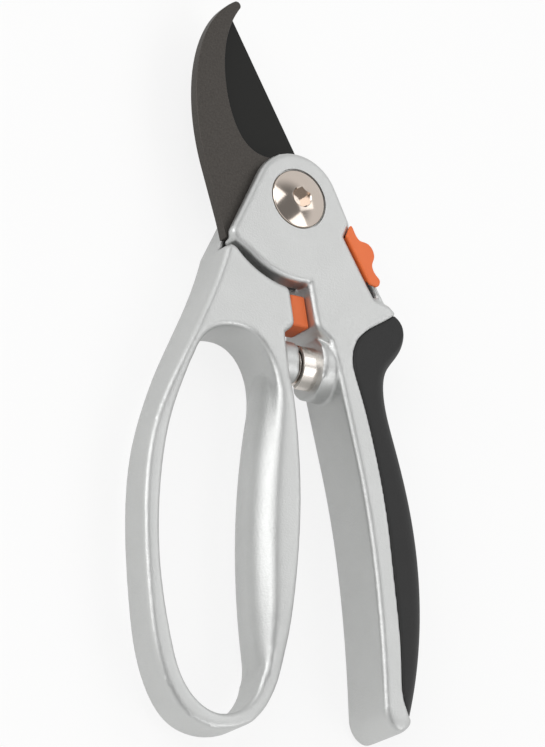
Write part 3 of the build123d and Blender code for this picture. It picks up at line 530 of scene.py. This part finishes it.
def ring_sector(name: str, middle_mm: Vector, half_mm: float, low_mm: float, high_mm: float,
                degrees: float) -> bpy.types.Object:
    """Curved bar round the pivot axis, as a curved slot is milled.

    Args:
        name: Name of the piece.
        middle_mm: Middle of the bar where it starts, in millimetres.
        half_mm: Half its width in millimetres.
        low_mm: Height of its lower end in millimetres.
        high_mm: Height of its upper end in millimetres.
        degrees: How far it goes round.

    Returns:
        The new piece.
    """
    bpy.ops.object.select_all(action="DESELECT")
    turn = math.atan2(middle_mm.y, middle_mm.x)
    place = (middle_mm.x * MM, middle_mm.y * MM, (low_mm + high_mm) / 2 * MM)
    bpy.ops.mesh.primitive_plane_add(size=MM, location=place, rotation=(math.pi / 2, 0, turn))
    piece = bpy.context.object
    piece.name = name
    piece.scale = (2 * half_mm, high_mm - low_mm, 1)
    bpy.ops.object.transform_apply(location=True, rotation=True, scale=True)
    bpy.ops.object.mode_set(mode="EDIT")
    bpy.ops.mesh.select_mode(type="FACE")
    bpy.ops.mesh.select_all(action="SELECT")
    bpy.ops.mesh.spin(steps=CURVE_STEPS, angle=-math.radians(degrees), center=(0, 0, 0), axis=(0, 0, 1))
    bpy.ops.mesh.select_mode(type="EDGE")
    bpy.ops.mesh.select_all(action="DESELECT")
    bpy.ops.mesh.select_non_manifold(extend=False)
    bpy.ops.mesh.fill_holes(sides=4)
    bpy.ops.mesh.select_all(action="SELECT")
    bpy.ops.mesh.normals_make_consistent(inside=False)
    bpy.ops.object.mode_set(mode="OBJECT")
    return piece


def join_to(piece: bpy.types.Object, others: list[bpy.types.Object]) -> None:
    """Join other pieces to a piece as loose shells.

    Args:
        piece: The piece that stays.
        others: The pieces that it takes in.
    """
    take_up(piece)
    for other in others:
        other.select_set(True)
    bpy.ops.object.join()


def combine(piece: bpy.types.Object, tool: bpy.types.Object, how: str) -> None:
    """Cut a piece with another, or keep what the two share, and drop the other.

    Args:
        piece: The piece that stays.
        tool: The piece that cuts it.
        how: DIFFERENCE, INTERSECT or UNION.
    """
    take_up(piece)
    cut = piece.modifiers.new("cut", "BOOLEAN")
    cut.operation = how
    cut.solver = "EXACT"
    cut.object = tool
    bpy.ops.object.modifier_apply(modifier=cut.name)
    bpy.data.objects.remove(tool, do_unlink=True)


def break_edges(piece: bpy.types.Object, width_mm: float, degrees: float = 30.0, segments: int = 2) -> None:
    """Break the sharp edges of a machined piece all over.

    Args:
        piece: The piece.
        width_mm: Width of the broken edge in millimetres.
        degrees: The angle between two faces from which an edge is broken.
        segments: Faces across the broken edge.
    """
    take_up(piece)
    bevel = piece.modifiers.new("edges", "BEVEL")
    bevel.width = width_mm * MM
    bevel.segments = segments
    bevel.limit_method = "ANGLE"
    bevel.angle_limit = math.radians(degrees)
    bevel.harden_normals = False
    bpy.ops.object.modifier_apply(modifier=bevel.name)


def finish_piece(piece: bpy.types.Object, finish: Finish, node: str,
                 body: Body | None = None) -> None:
    """Dress a piece, hide the CAD node that it stands for, and let it ride on its body.

    Args:
        piece: The piece.
        finish: Its finish.
        node: CAD node that it replaces.
        body: Body that it moves with, or None, where it is attached to no body.
    """
    piece.data.materials.clear()
    piece.data.materials.append(finish.material())
    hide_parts(node)
    if body is not None:
        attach(piece, body.value)
    LOG.info("%s: %s faces, %s", piece.name, len(piece.data.polygons), finish.name)


# ---------------------------------------------------------------------------------------------------
# sub-assemblies
# ---------------------------------------------------------------------------------------------------


@dataclass
class LoopLever:
    """Lever with the finger loop: a casting that carries the cutting blade.

    Attributes:
        edge_mm: Rounding of the casting's edges.
        corner_mm: Rounding of its upright corners.
        grid_mm: Size of the faces of its skin.
        passes: Smoothing of its skin.
        rib_end_mm: Narrow end of the rib beside the cutting blade.
        rib_clear_mm: How far round it no edge is rounded.
        nut_seat_mm: Radius of the seat of the nut and its washer.
        screw_head_mm: Radius of the blade screws' heads.
        screw_mm: Radius of their shanks.
        screw_seat_mm: Depth of their seats.
        window_mm: Half the width of the catch pin's window.
        play_mm: Room round what stands in a hole.
        socket_mm: Size of the blade screws' hexagon sockets across their flats.
        socket_depth_mm: Depth of those sockets.
        palm_ends_mm: Stretch along Y where the palm bar's inner side is worn round.
        palm_side_mm: Place along X up to which it is.
        guard_side_mm: Place along X between the palm bar and the finger guard.
        palm_fade_mm: How far the rounding takes to fade out.
        palm_passes: Smoothing that rounds it.
        blade_edge_mm: Rounding of the cutting blade's edges.
        screw_edge_mm: Broken edges of the blade screws.
    """

    edge_mm: float = 1.3
    corner_mm: float = 1.2
    grid_mm: float = 0.41
    passes: int = 4
    rib_end_mm: tuple[float, float] = (-14.4, -2.5)
    rib_clear_mm: float = 4.0
    nut_seat_mm: float = 7.4
    screw_head_mm: float = 2.8
    screw_mm: float = 1.5
    screw_seat_mm: float = 2.0
    window_mm: float = 1.45
    play_mm: float = 0.05
    socket_mm: float = 2.5
    socket_depth_mm: float = 1.3
    palm_ends_mm: tuple[float, float] = (-122.0, -56.0)
    palm_side_mm: float = -6.5
    guard_side_mm: float = -24.0
    palm_fade_mm: float = 9.0
    palm_passes: int = 90
    blade_edge_mm: float = 0.14
    screw_edge_mm: float = 0.15

    def build(self) -> None:
        """Make the casting, the blade and its screws."""
        self.casting()
        self.blade()
        self.screws()

    def casting(self) -> None:
        """Die casting: back plate, palm bar with its swell, finger guard and spring boss."""
        piece = merged_copy("loop_casting", "loop_lever_casting")
        clear = 2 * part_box("pivot_nut")[1].y / MM
        round_edges(piece, lambda edge: upright(edge) and self.free(edge, clear), self.corner_mm)
        round_edges(piece, lambda edge: on_rim(edge) and self.free(edge, clear), self.edge_mm)
        join_to(piece, self.plugs())
        even_skin(piece, self.grid_mm, self.passes)
        soften(piece, self.palm_weight, self.palm_passes)
        combine(piece, self.cutter(), "DIFFERENCE")
        weigh_normals(piece, 50)
        finish_piece(piece, CAST_ALUMINIUM, "loop_casting", Body.LOOP)

    def free(self, edge: bmesh.types.BMEdge, clear_mm: float) -> bool:
        """Whether an edge is clear of the pivot and of the narrow end of the rib.

        Args:
            edge: The edge.
            clear_mm: Radius round the pivot in millimetres in which no edge is rounded.

        Returns:
            True where it can be rounded.
        """
        middle = edge_middle(edge) / MM
        rib = Vector(self.rib_end_mm)
        return from_pivot(edge) > clear_mm and (middle.xy - rib).length > self.rib_clear_mm

    def plate(self) -> tuple[float, float]:
        """Heights of the back plate's back and front in millimetres."""
        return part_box("blade_screws")[0].z / MM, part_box("cutting_blade")[0].z / MM

    def screw_places(self) -> list[tuple[float, float]]:
        """Find the two blade screws.

        Returns:
            Their middles in millimetres.
        """
        low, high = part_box("blade_screws")
        inset = self.screw_head_mm
        return [(low.x / MM + inset, high.y / MM - inset), (high.x / MM - inset, low.y / MM + inset)]

    def pin_route(self) -> tuple[Vector, Vector]:
        """Find the catch pin's two places in its window.

        Returns:
            Its middle in millimetres, with the catch off and on.
        """
        low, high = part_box("catch_pin")
        start = (low + high) / 2 / MM
        slide = joint("catch_slide")
        return start, start + Vector(slide["axis"]) * slide["range_m"][1] / MM

    def window(self, half_mm: float, low_mm: float, high_mm: float) -> list[bpy.types.Object]:
        """Bars with the shape of the catch pin's window.

        Args:
            half_mm: Half its width in millimetres.
            low_mm: Height of their lower ends in millimetres.
            high_mm: Height of their upper ends in millimetres.

        Returns:
            The bars: two straight ones, and the curved one between them.
        """
        start, end = self.pin_route()
        opening = -joint("lever_hinge")["range_deg"][0]
        turn = Matrix.Rotation(math.radians(opening), 3, "Z")
        shut = slot("shut_leg", (start, end), half_mm, low_mm, high_mm)
        wide = slot("open_leg", (turn @ start, turn @ end), half_mm, low_mm, high_mm)
        curve = ring_sector("curve", start, half_mm, low_mm, high_mm, opening)
        return [shut, wide, curve]

    def plugs(self) -> list[bpy.types.Object]:
        """Make the metal that fills the plate's holes until its skin is made.

        Returns:
            The plugs.
        """
        low, high = self.plate()
        room = self.grid_mm * 2
        plugs = [prism("seat_plug", SEAT_SIDES, 2 * (self.nut_seat_mm + room), low, high)]
        plugs += [prism("screw_plug", SHANK_SIDES, 2 * (self.screw_head_mm + room), low, high, place)
                  for place in self.screw_places()]
        return plugs + self.window(self.window_mm + room, low, high)

    def cutter(self) -> bpy.types.Object:
        """Make one tool with the shape of all the plate's machined holes.

        Returns:
            The tool.
        """
        low, high = self.plate()
        under, over = low - OVERCUT_MM, high + OVERCUT_MM
        spring_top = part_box("disc_spring")[1].z / MM
        cutter = prism("cutter", BORE_SIDES, 2 * self.nut_seat_mm, under, spring_top + self.play_mm)
        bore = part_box("pivot_bush")[1].x / MM + self.play_mm
        holes = [prism("bore", BORE_SIDES, 2 * bore, low, over)]
        for place in self.screw_places():
            holes.append(prism("head", SEAT_SIDES, 2 * (self.screw_head_mm + self.play_mm), under,
                               low + self.screw_seat_mm, place))
            holes.append(prism("shank", SHANK_SIDES, 2 * (self.screw_mm + self.play_mm), low, over, place))
        holes += self.window(self.window_mm, under, over)
        for hole in holes:
            combine(cutter, hole, "UNION")
        return cutter

    def palm_weight(self, place: Vector) -> float:
        """How far the palm bar is rounded at a place.

        Args:
            place: The place in metres.

        Returns:
            From 0, not at all, to 1.
        """
        low, high = self.palm_ends_mm
        x, y = place.x / MM, place.y / MM
        if x < self.guard_side_mm:
            return 0.0
        inside = min(y - low, high - y, (self.palm_side_mm - x) * 3)
        return min(1.0, max(0.0, 1 + inside / self.palm_fade_mm))

    def blade(self) -> None:
        """Cutting blade: ground edge, and its other edges just broken."""
        piece = merged_copy("cutting_blade", "cutting_blade_coated")
        round_edges(piece, corner, self.blade_edge_mm, 2)
        weigh_normals(piece, 40)
        finish_piece(piece, COATED_STEEL, "cutting_blade", Body.LOOP)

    def screws(self) -> None:
        """Socket screws that hold the blade to the plate."""
        piece = merged_copy("blade_screws", "blade_screw_pair")
        back = self.plate()[0]
        for place in self.screw_places():
            socket = prism("socket", 6, self.socket_mm, back - OVERCUT_MM, back + self.socket_depth_mm, place)
            combine(piece, socket, "DIFFERENCE")
        break_edges(piece, self.screw_edge_mm, 40)
        weigh_normals(piece, 35)
        finish_piece(piece, ZINC, "blade_screws", Body.LOOP)


@dataclass
class GripLever:
    """Lever with the soft grip: a casting that carries the counter blade and the bumper.

    Attributes:
        edge_mm: Rounding of the casting's edges.
        corner_mm: Rounding of its upright corners.
        seam_mm: Rounding of its edges beside the soft grip.
        outwards_least: Least that a face beside the soft grip points along X.
        stack_mm: From the cutting blade's back to the head plate's front.
        bolt_seat_mm: Radius of the counterbore round the bolt's head.
        bolt_sink_mm: Its depth.
        bolt_bore_mm: Radius of the hole for the bolt's shoulder.
        bolt_clear_mm: How far round the bolt's head no edge is rounded.
        grid_mm: Size of the faces of its skin.
        passes: Smoothing of its skin.
        end_fade_mm: How far the round end of the handle fades in above the soft grip's tip.
        end_passes: Smoothing that makes that end round.
        rubber_edge_mm: Rounding of the soft grip's edge beside the metal.
        rubber_grid_mm: Size of the faces of the soft grip's skin.
        hook_edge_mm: Rounding of the counter blade's edges.
        bumper_edge_mm: Rounding of the bumper's edges.
    """

    edge_mm: float = 1.3
    corner_mm: float = 1.2
    seam_mm: float = 0.3
    outwards_least: float = 0.3
    stack_mm: float = 9.0
    bolt_seat_mm: float = 8.35
    bolt_sink_mm: float = 0.8
    bolt_bore_mm: float = 4.02
    bolt_clear_mm: float = 1.0
    grid_mm: float = 0.38
    passes: int = 4
    end_fade_mm: float = 3.0
    end_passes: int = 70
    rubber_edge_mm: float = 0.5
    rubber_grid_mm: float = 0.33
    hook_edge_mm: float = 0.3
    bumper_edge_mm: float = 0.7

    def build(self) -> None:
        """Make the casting, the soft grip, the counter blade and the bumper."""
        self.casting()
        self.rubber()
        self.hook()
        self.bumper()

    def casting(self) -> None:
        """Die casting: head plate, handle, spring socket and the catch's slide."""
        piece = merged_copy("grip_casting", "grip_lever_casting")
        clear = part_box("pivot_bolt")[1].y / MM + self.bolt_clear_mm
        round_edges(piece, lambda edge: upright(edge) and from_pivot(edge) > clear, self.corner_mm)
        round_edges(piece, lambda edge: on_rim(edge) and self.at_rubber(edge), self.seam_mm, 2)
        round_edges(piece, lambda edge: (on_rim(edge) and from_pivot(edge) > clear
                                         and not self.at_rubber(edge)), self.edge_mm)
        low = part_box("counter_blade")[1].z / MM
        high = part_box("cutting_blade")[0].z / MM + self.stack_mm
        join_to(piece, [prism("plug", SEAT_SIDES, 2 * clear, low, high)])
        even_skin(piece, self.grid_mm, self.passes)
        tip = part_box("soft_grip")[0].y
        soften(piece, lambda place: self.end_weight((place.y - tip) / MM), self.end_passes)
        cutter = prism("counterbore", COUNTERBORE_SIDES, 2 * self.bolt_seat_mm, high - self.bolt_sink_mm,
                       high + OVERCUT_MM)
        bore = prism("bore", BORE_SIDES, 2 * self.bolt_bore_mm, low - OVERCUT_MM, high)
        combine(cutter, bore, "UNION")
        combine(piece, cutter, "DIFFERENCE")
        weigh_normals(piece, 50)
        finish_piece(piece, CAST_ALUMINIUM, "grip_casting", Body.GRIP)

    def at_rubber(self, edge: bmesh.types.BMEdge) -> bool:
        """Whether an edge of the casting is beside the soft grip.

        Args:
            edge: The edge.

        Returns:
            True where it is, and faces outwards.
        """
        low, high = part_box("soft_grip")
        middle = edge_middle(edge)
        outwards = max(face.normal.x for face in edge.link_faces)
        beside = middle.x > low.x - self.edge_mm * MM
        return low.y < middle.y < high.y and beside and outwards > self.outwards_least

    def end_weight(self, above_mm: float) -> float:
        """How far the end of the handle is rounded at a place.

        Args:
            above_mm: How far the place is above the soft grip's tip.

        Returns:
            From 0, not at all, to 1.
        """
        return min(1.0, max(0.0, 1 - above_mm / self.end_fade_mm))

    def rubber(self) -> None:
        """Soft grip, moulded over the handle's outer side."""
        piece = merged_copy("soft_grip", "soft_grip_moulding")
        round_edges(piece, on_rim, self.rubber_edge_mm, 2)
        even_skin(piece, self.rubber_grid_mm, self.passes)
        weigh_normals(piece, 60)
        finish_piece(piece, SOFT_ELASTOMER, "soft_grip", Body.GRIP)

    def hook(self) -> None:
        """Hooked counter blade, tumbled after it was blanked."""
        piece = merged_copy("counter_blade", "counter_blade_hook")
        round_edges(piece, corner, self.hook_edge_mm, 3)
        weigh_normals(piece, 40)
        finish_piece(piece, BLACKENED_STEEL, "counter_blade", Body.GRIP)

    def bumper(self) -> None:
        """Rubber stop in the channel between the castings."""
        piece = merged_copy("bumper", "bumper_block")
        round_edges(piece, corner, self.bumper_edge_mm, 3)
        weigh_normals(piece, 50)
        finish_piece(piece, ORANGE_RUBBER, "bumper", Body.GRIP)


@dataclass
class ThumbCatch:
    """Sliding thumb catch.

    Attributes:
        edge_mm: Rounding of the tab's edges.
        grid_mm: Size of the faces of its skin.
        passes: Smoothing of its skin.
    """

    edge_mm: float = 0.35
    grid_mm: float = 0.16
    passes: int = 3

    def build(self) -> None:
        """Make the tab with its web and tongue."""
        piece = merged_copy("thumb_catch", "thumb_catch_tab")
        round_edges(piece, lambda edge: on_rim(edge) or upright(edge), self.edge_mm)
        even_skin(piece, self.grid_mm, self.passes)
        weigh_normals(piece, 60)
        finish_piece(piece, ORANGE_NYLON, "thumb_catch", Body.CATCH)


@dataclass
class PivotBolt:
    """Domed socket bolt, its nut and its washer.

    Attributes:
        head_mm: Height of the head.
        rim_mm: Height of the head's edge.
        shoulder_mm: Diameter of the shoulder.
        thread_mm: Diameter of the thread.
        socket_mm: Size of the hexagon socket across its flats.
        socket_depth_mm: Depth of the socket.
        nut_mm: Size of the nut across its flats.
        edge_mm: Chamfers of the bolt.
        rim_ease: Share of that chamfer by which the dome's edge stands in.
        dome_steps: Faces from the dome's top to its edge.
        nut_flat_share: Share of the nut's width that its chamfer leaves flat.
        nut_room_mm: How far the chamfering cone reaches past the nut's corners.
        nut_mouth_mm: Width of the chamfer of the nut's bore.
        nut_mouth_depth_mm: Depth of that chamfer.
        thread_play_mm: Room round the thread in the nut.
        nut_edge_mm: Broken edges of the nut.
        washer_edge_mm: Rounding of the washer's edges.
    """

    head_mm: float = 3.0
    rim_mm: float = 0.9
    shoulder_mm: float = 8.0
    thread_mm: float = 6.0
    socket_mm: float = 5.0
    socket_depth_mm: float = 3.0
    nut_mm: float = 10.0
    edge_mm: float = 0.25
    rim_ease: float = 0.35
    dome_steps: int = 24
    nut_flat_share: float = 0.96
    nut_room_mm: float = 0.2
    nut_mouth_mm: float = 0.6
    nut_mouth_depth_mm: float = 0.5
    thread_play_mm: float = 0.02
    nut_edge_mm: float = 0.1
    washer_edge_mm: float = 0.15

    def build(self) -> None:
        """Make the bolt, the nut and the washer."""
        self.bolt()
        self.nut()
        self.washer()

    def bolt(self) -> None:
        """Bolt: a turned profile with a hexagon socket."""
        box_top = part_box("pivot_bolt")[1]
        radius = box_top.x / MM
        top = box_top.z / MM
        seat = top - self.head_mm
        shoulder_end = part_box("pivot_washer")[1].z / MM
        dome = self.head_mm - self.rim_mm
        ball = (radius ** 2 + dome ** 2) / (2 * dome)
        half = math.asin(radius / ball)
        angles = [half * step / self.dome_steps for step in range(self.dome_steps)]
        arc = [(ball * math.sin(angle), top - ball + ball * math.cos(angle)) for angle in angles]
        edge = self.edge_mm
        thread = self.thread_mm / 2
        shoulder = self.shoulder_mm / 2
        profile = [(0.0, 0.0), (thread - edge, 0.0), (thread, edge), (thread, shoulder_end),
                   (shoulder, shoulder_end), (shoulder, seat), (radius - edge, seat), (radius, seat + edge),
                   (radius, seat + self.rim_mm - edge), (radius - self.rim_ease * edge, seat + self.rim_mm),
                   *[point for point in reversed(arc) if point[0] < radius - edge]]
        piece = turned_piece("pivot_bolt_domed", profile)
        socket = prism("socket", 6, self.socket_mm, top - self.socket_depth_mm, top + OVERCUT_MM)
        combine(piece, socket, "DIFFERENCE")
        mouth = self.socket_mm / 2 / math.cos(math.pi / 6) + self.edge_mm
        sink = turned_piece("sink", [(0, top - mouth), (mouth + OVERCUT_MM, top + OVERCUT_MM),
                                     (0, top + OVERCUT_MM)])
        combine(piece, sink, "DIFFERENCE")
        weigh_normals(piece, 35)
        finish_piece(piece, POLISHED_NICKEL, "pivot_bolt", Body.GRIP)

    def nut(self) -> None:
        """Nut with chamfered corners."""
        low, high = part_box("pivot_nut")
        height = (high.z - low.z) / MM
        piece = prism("pivot_nut_plated", 6, self.nut_mm, 0.0, height, turn=30)
        over = height + OVERCUT_MM
        reach = self.nut_mm / 2 / math.cos(math.pi / 6) + self.nut_room_mm
        flat = self.nut_mm / 2 * self.nut_flat_share
        drop = (reach - flat) * math.tan(math.radians(30))
        cone = turned_piece("cone", [(0, 0), (flat, 0), (reach, drop), (reach, over), (0, over)])
        combine(piece, cone, "INTERSECT")
        mouth = self.thread_mm / 2 + self.nut_mouth_mm
        hole = self.thread_mm / 2 + self.thread_play_mm
        bore = turned_piece("bore", [(0, -OVERCUT_MM), (mouth, -OVERCUT_MM), (mouth, 0),
                                     (hole, self.nut_mouth_depth_mm), (hole, over), (0, over)])
        combine(piece, bore, "DIFFERENCE")
        break_edges(piece, self.nut_edge_mm, 25)
        weigh_normals(piece, 30)
        finish_piece(piece, ZINC, "pivot_nut", Body.GRIP)

    def washer(self) -> None:
        """Punched washer."""
        piece = merged_copy("pivot_washer", "pivot_washer_plated")
        round_edges(piece, on_rim, self.washer_edge_mm, 2)
        weigh_normals(piece, 40)
        finish_piece(piece, ZINC, "pivot_washer", Body.GRIP)


@dataclass
class VoluteSpring:
    """Volute spring between the two levers.

    Attributes:
        edge_mm: Rounding of the strip's edges.
    """

    edge_mm: float = 0.12

    def build(self) -> None:
        """Make the spring, and bake its place into its mesh."""
        piece = merged_copy("volute_spring", "volute_spring_strip")
        round_edges(piece, corner, self.edge_mm, 2)
        weigh_normals(piece, 40)
        finish_piece(piece, NICKEL, "volute_spring")
        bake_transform(piece)


# ---------------------------------------------------------------------------------------------------
# studio
# ---------------------------------------------------------------------------------------------------


@dataclass(frozen=True)
class Lamp:
    """Soft square lamp that faces the shears.

    Attributes:
        name: Its name.
        place: Its place in metres.
        size: Its side in metres.
        power: Its power in watts.
    """

    name: str
    place: tuple[float, float, float]
    size: float
    power: float

    def build(self, target: tuple[float, float, float]) -> None:
        """Add the lamp.

        Args:
            target: The place that it faces, in metres.
        """
        bpy.ops.object.light_add(type="AREA", location=self.place)
        lamp = bpy.context.object
        lamp.name = self.name
        lamp.data.size = self.size
        lamp.data.energy = self.power
        aim = Vector(target) - Vector(self.place)
        lamp.rotation_euler = aim.to_track_quat("-Z", "Y").to_euler()


@dataclass
class Studio:
    """Pale floor, soft lamps, white surroundings and the camera.

    Attributes:
        floor_size: Side of the floor in metres.
        floor_drop: How far the floor lies below the shears in metres.
        paper: Colour of the floor.
        lamps: The lamps.
        target: The place that the lamps face, in metres.
        camera_place: Camera's place in metres.
        camera_turn: Rows of the camera's rotation: right, up and back.
        lens: Focal length in millimetres.
        sensor: Long side of the camera's sensor in millimetres.
        near: Nearest distance that the camera sees, in metres.
        horizon: Brightness of the surroundings near the horizon.
        zenith: Their brightness overhead.
        fade: Heights between which the one turns into the other, from 0 below to 1 above.
        paper_glow: How far the floor is lifted to white where it is seen.
        mirrored_share: Share of that lift in reflections and through glass.
    """

    floor_size: float = 6.0
    floor_drop: float = 0.0002
    paper: str = "#F6F6F5"
    lamps: tuple[Lamp, ...] = (
        Lamp("key", (0.74, 0.42, 1.11), 0.8, 2.3),
        Lamp("left_high", (-0.54, 0.48, 1.21), 0.75, 3.0),
        Lamp("left_low", (-1.18, 0.44, 0.66), 0.9, 5.2),
        Lamp("front", (0.60, -0.62, 1.05), 0.8, 3.4))
    target: tuple[float, float, float] = (0.0, -0.03, 0.0)
    camera_place: tuple[float, float, float] = (-0.50584, -0.38118, 0.79034)
    camera_turn: tuple[tuple[float, float, float], ...] = (
        (0.84491517, -0.16702014, -0.50815611),
        (-0.01770366, 0.94074932, -0.33864037),
        (0.53460728, 0.2951186, 0.7918965))
    lens: float = 183.944
    sensor: float = 36.0
    near: float = 0.05
    horizon: float = 0.78
    zenith: float = 0.22
    fade: tuple[float, float] = (0.55, 0.9)
    paper_glow: float = 0.82
    mirrored_share: float = 0.55

    def build(self) -> None:
        """Make the floor, world, lamps and camera."""
        self.floor()
        self.world()
        for lamp in self.lamps:
            lamp.build(self.target)
        self.camera()

    def floor(self) -> None:
        """White paper floor under the shears."""
        bpy.ops.mesh.primitive_plane_add(size=self.floor_size, location=(0, 0, -self.floor_drop))
        floor = bpy.context.object
        floor.name = "floor"
        material = bpy.data.materials.new("white_paper")
        material.use_nodes = True
        tree = material.node_tree
        tree.nodes.clear()
        paper = add_node(tree, "ShaderNodeBsdfDiffuse", {"in:Color": linear(self.paper)})
        glow = add_node(tree, "ShaderNodeEmission", {"in:Color": (1, 1, 1, 1), "in:Strength": 1.0})
        share = add_node(tree, "ShaderNodeMath", {"operation": "MULTIPLY", "in:1": self.paper_glow},
                         {0: self.seen(tree)})
        mix = add_node(tree, "ShaderNodeMixShader", links={0: share.outputs[0], 1: paper.outputs[0],
                                                           2: glow.outputs[0]})
        add_node(tree, "ShaderNodeOutputMaterial", links={"Surface": mix.outputs[0]})
        floor.data.materials.append(material)

    def seen(self, tree: bpy.types.NodeTree) -> bpy.types.NodeSocket:
        """One for rays from the camera, a share for reflections and glass, and zero for the rest.

        Args:
            tree: Node tree that gets the nodes.

        Returns:
            The socket with that number.
        """
        path = add_node(tree, "ShaderNodeLightPath")
        mirrored = add_node(tree, "ShaderNodeMath", {"operation": "MAXIMUM"},
                            {0: path.outputs["Is Glossy Ray"], 1: path.outputs["Is Transmission Ray"]})
        share = add_node(tree, "ShaderNodeMath", {"operation": "MULTIPLY", "in:1": self.mirrored_share},
                         {0: mirrored.outputs[0]})
        return add_node(tree, "ShaderNodeMath", {"operation": "MAXIMUM"},
                        {0: path.outputs["Is Camera Ray"], 1: share.outputs[0]}).outputs[0]

    def world(self) -> None:
        """Surroundings that are white at the horizon and a little dimmer overhead."""
        world = bpy.data.worlds.new("studio")
        bpy.context.scene.world = world
        world.use_nodes = True
        tree = world.node_tree
        tree.nodes.clear()
        place = add_node(tree, "ShaderNodeTexCoord").outputs["Generated"]
        height = add_node(tree, "ShaderNodeSeparateXYZ", links={0: place}).outputs["Z"]
        sky = add_node(tree, "ShaderNodeMapRange",
                       {"interpolation_type": "SMOOTHSTEP", "in:From Min": self.fade[0],
                        "in:From Max": self.fade[1], "in:To Min": self.horizon, "in:To Max": self.zenith},
                       {"Value": height})
        light = add_node(tree, "ShaderNodeBackground", {"in:Color": (1, 1, 1, 1)},
                         {"Strength": sky.outputs[0]})
        add_node(tree, "ShaderNodeOutputWorld", links={"Surface": light.outputs[0]})

    def camera(self) -> None:
        """Add the camera and make it the scene's."""
        bpy.ops.object.camera_add()
        camera = bpy.context.object
        turn = Matrix(self.camera_turn).to_4x4()
        camera.matrix_world = Matrix.Translation(self.camera_place) @ turn
        camera.data.sensor_width = self.sensor
        camera.data.lens = self.lens
        camera.data.clip_start = self.near
        bpy.context.scene.camera = camera


def main() -> None:
    """Build the shears' looks and the studio round them."""
    logging.basicConfig(level=logging.INFO, format="%(name)s: %(message)s")
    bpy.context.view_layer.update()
    bpy.ops.object.select_all(action="DESELECT")
    Wardrobe().dress_nodes()
    LoopLever().build()
    GripLever().build()
    ThumbCatch().build()
    PivotBolt().build()
    VoluteSpring().build()
    Studio().build()
    bpy.context.scene.view_settings.view_transform = "Standard"


if __name__ == "__main__":
    main()
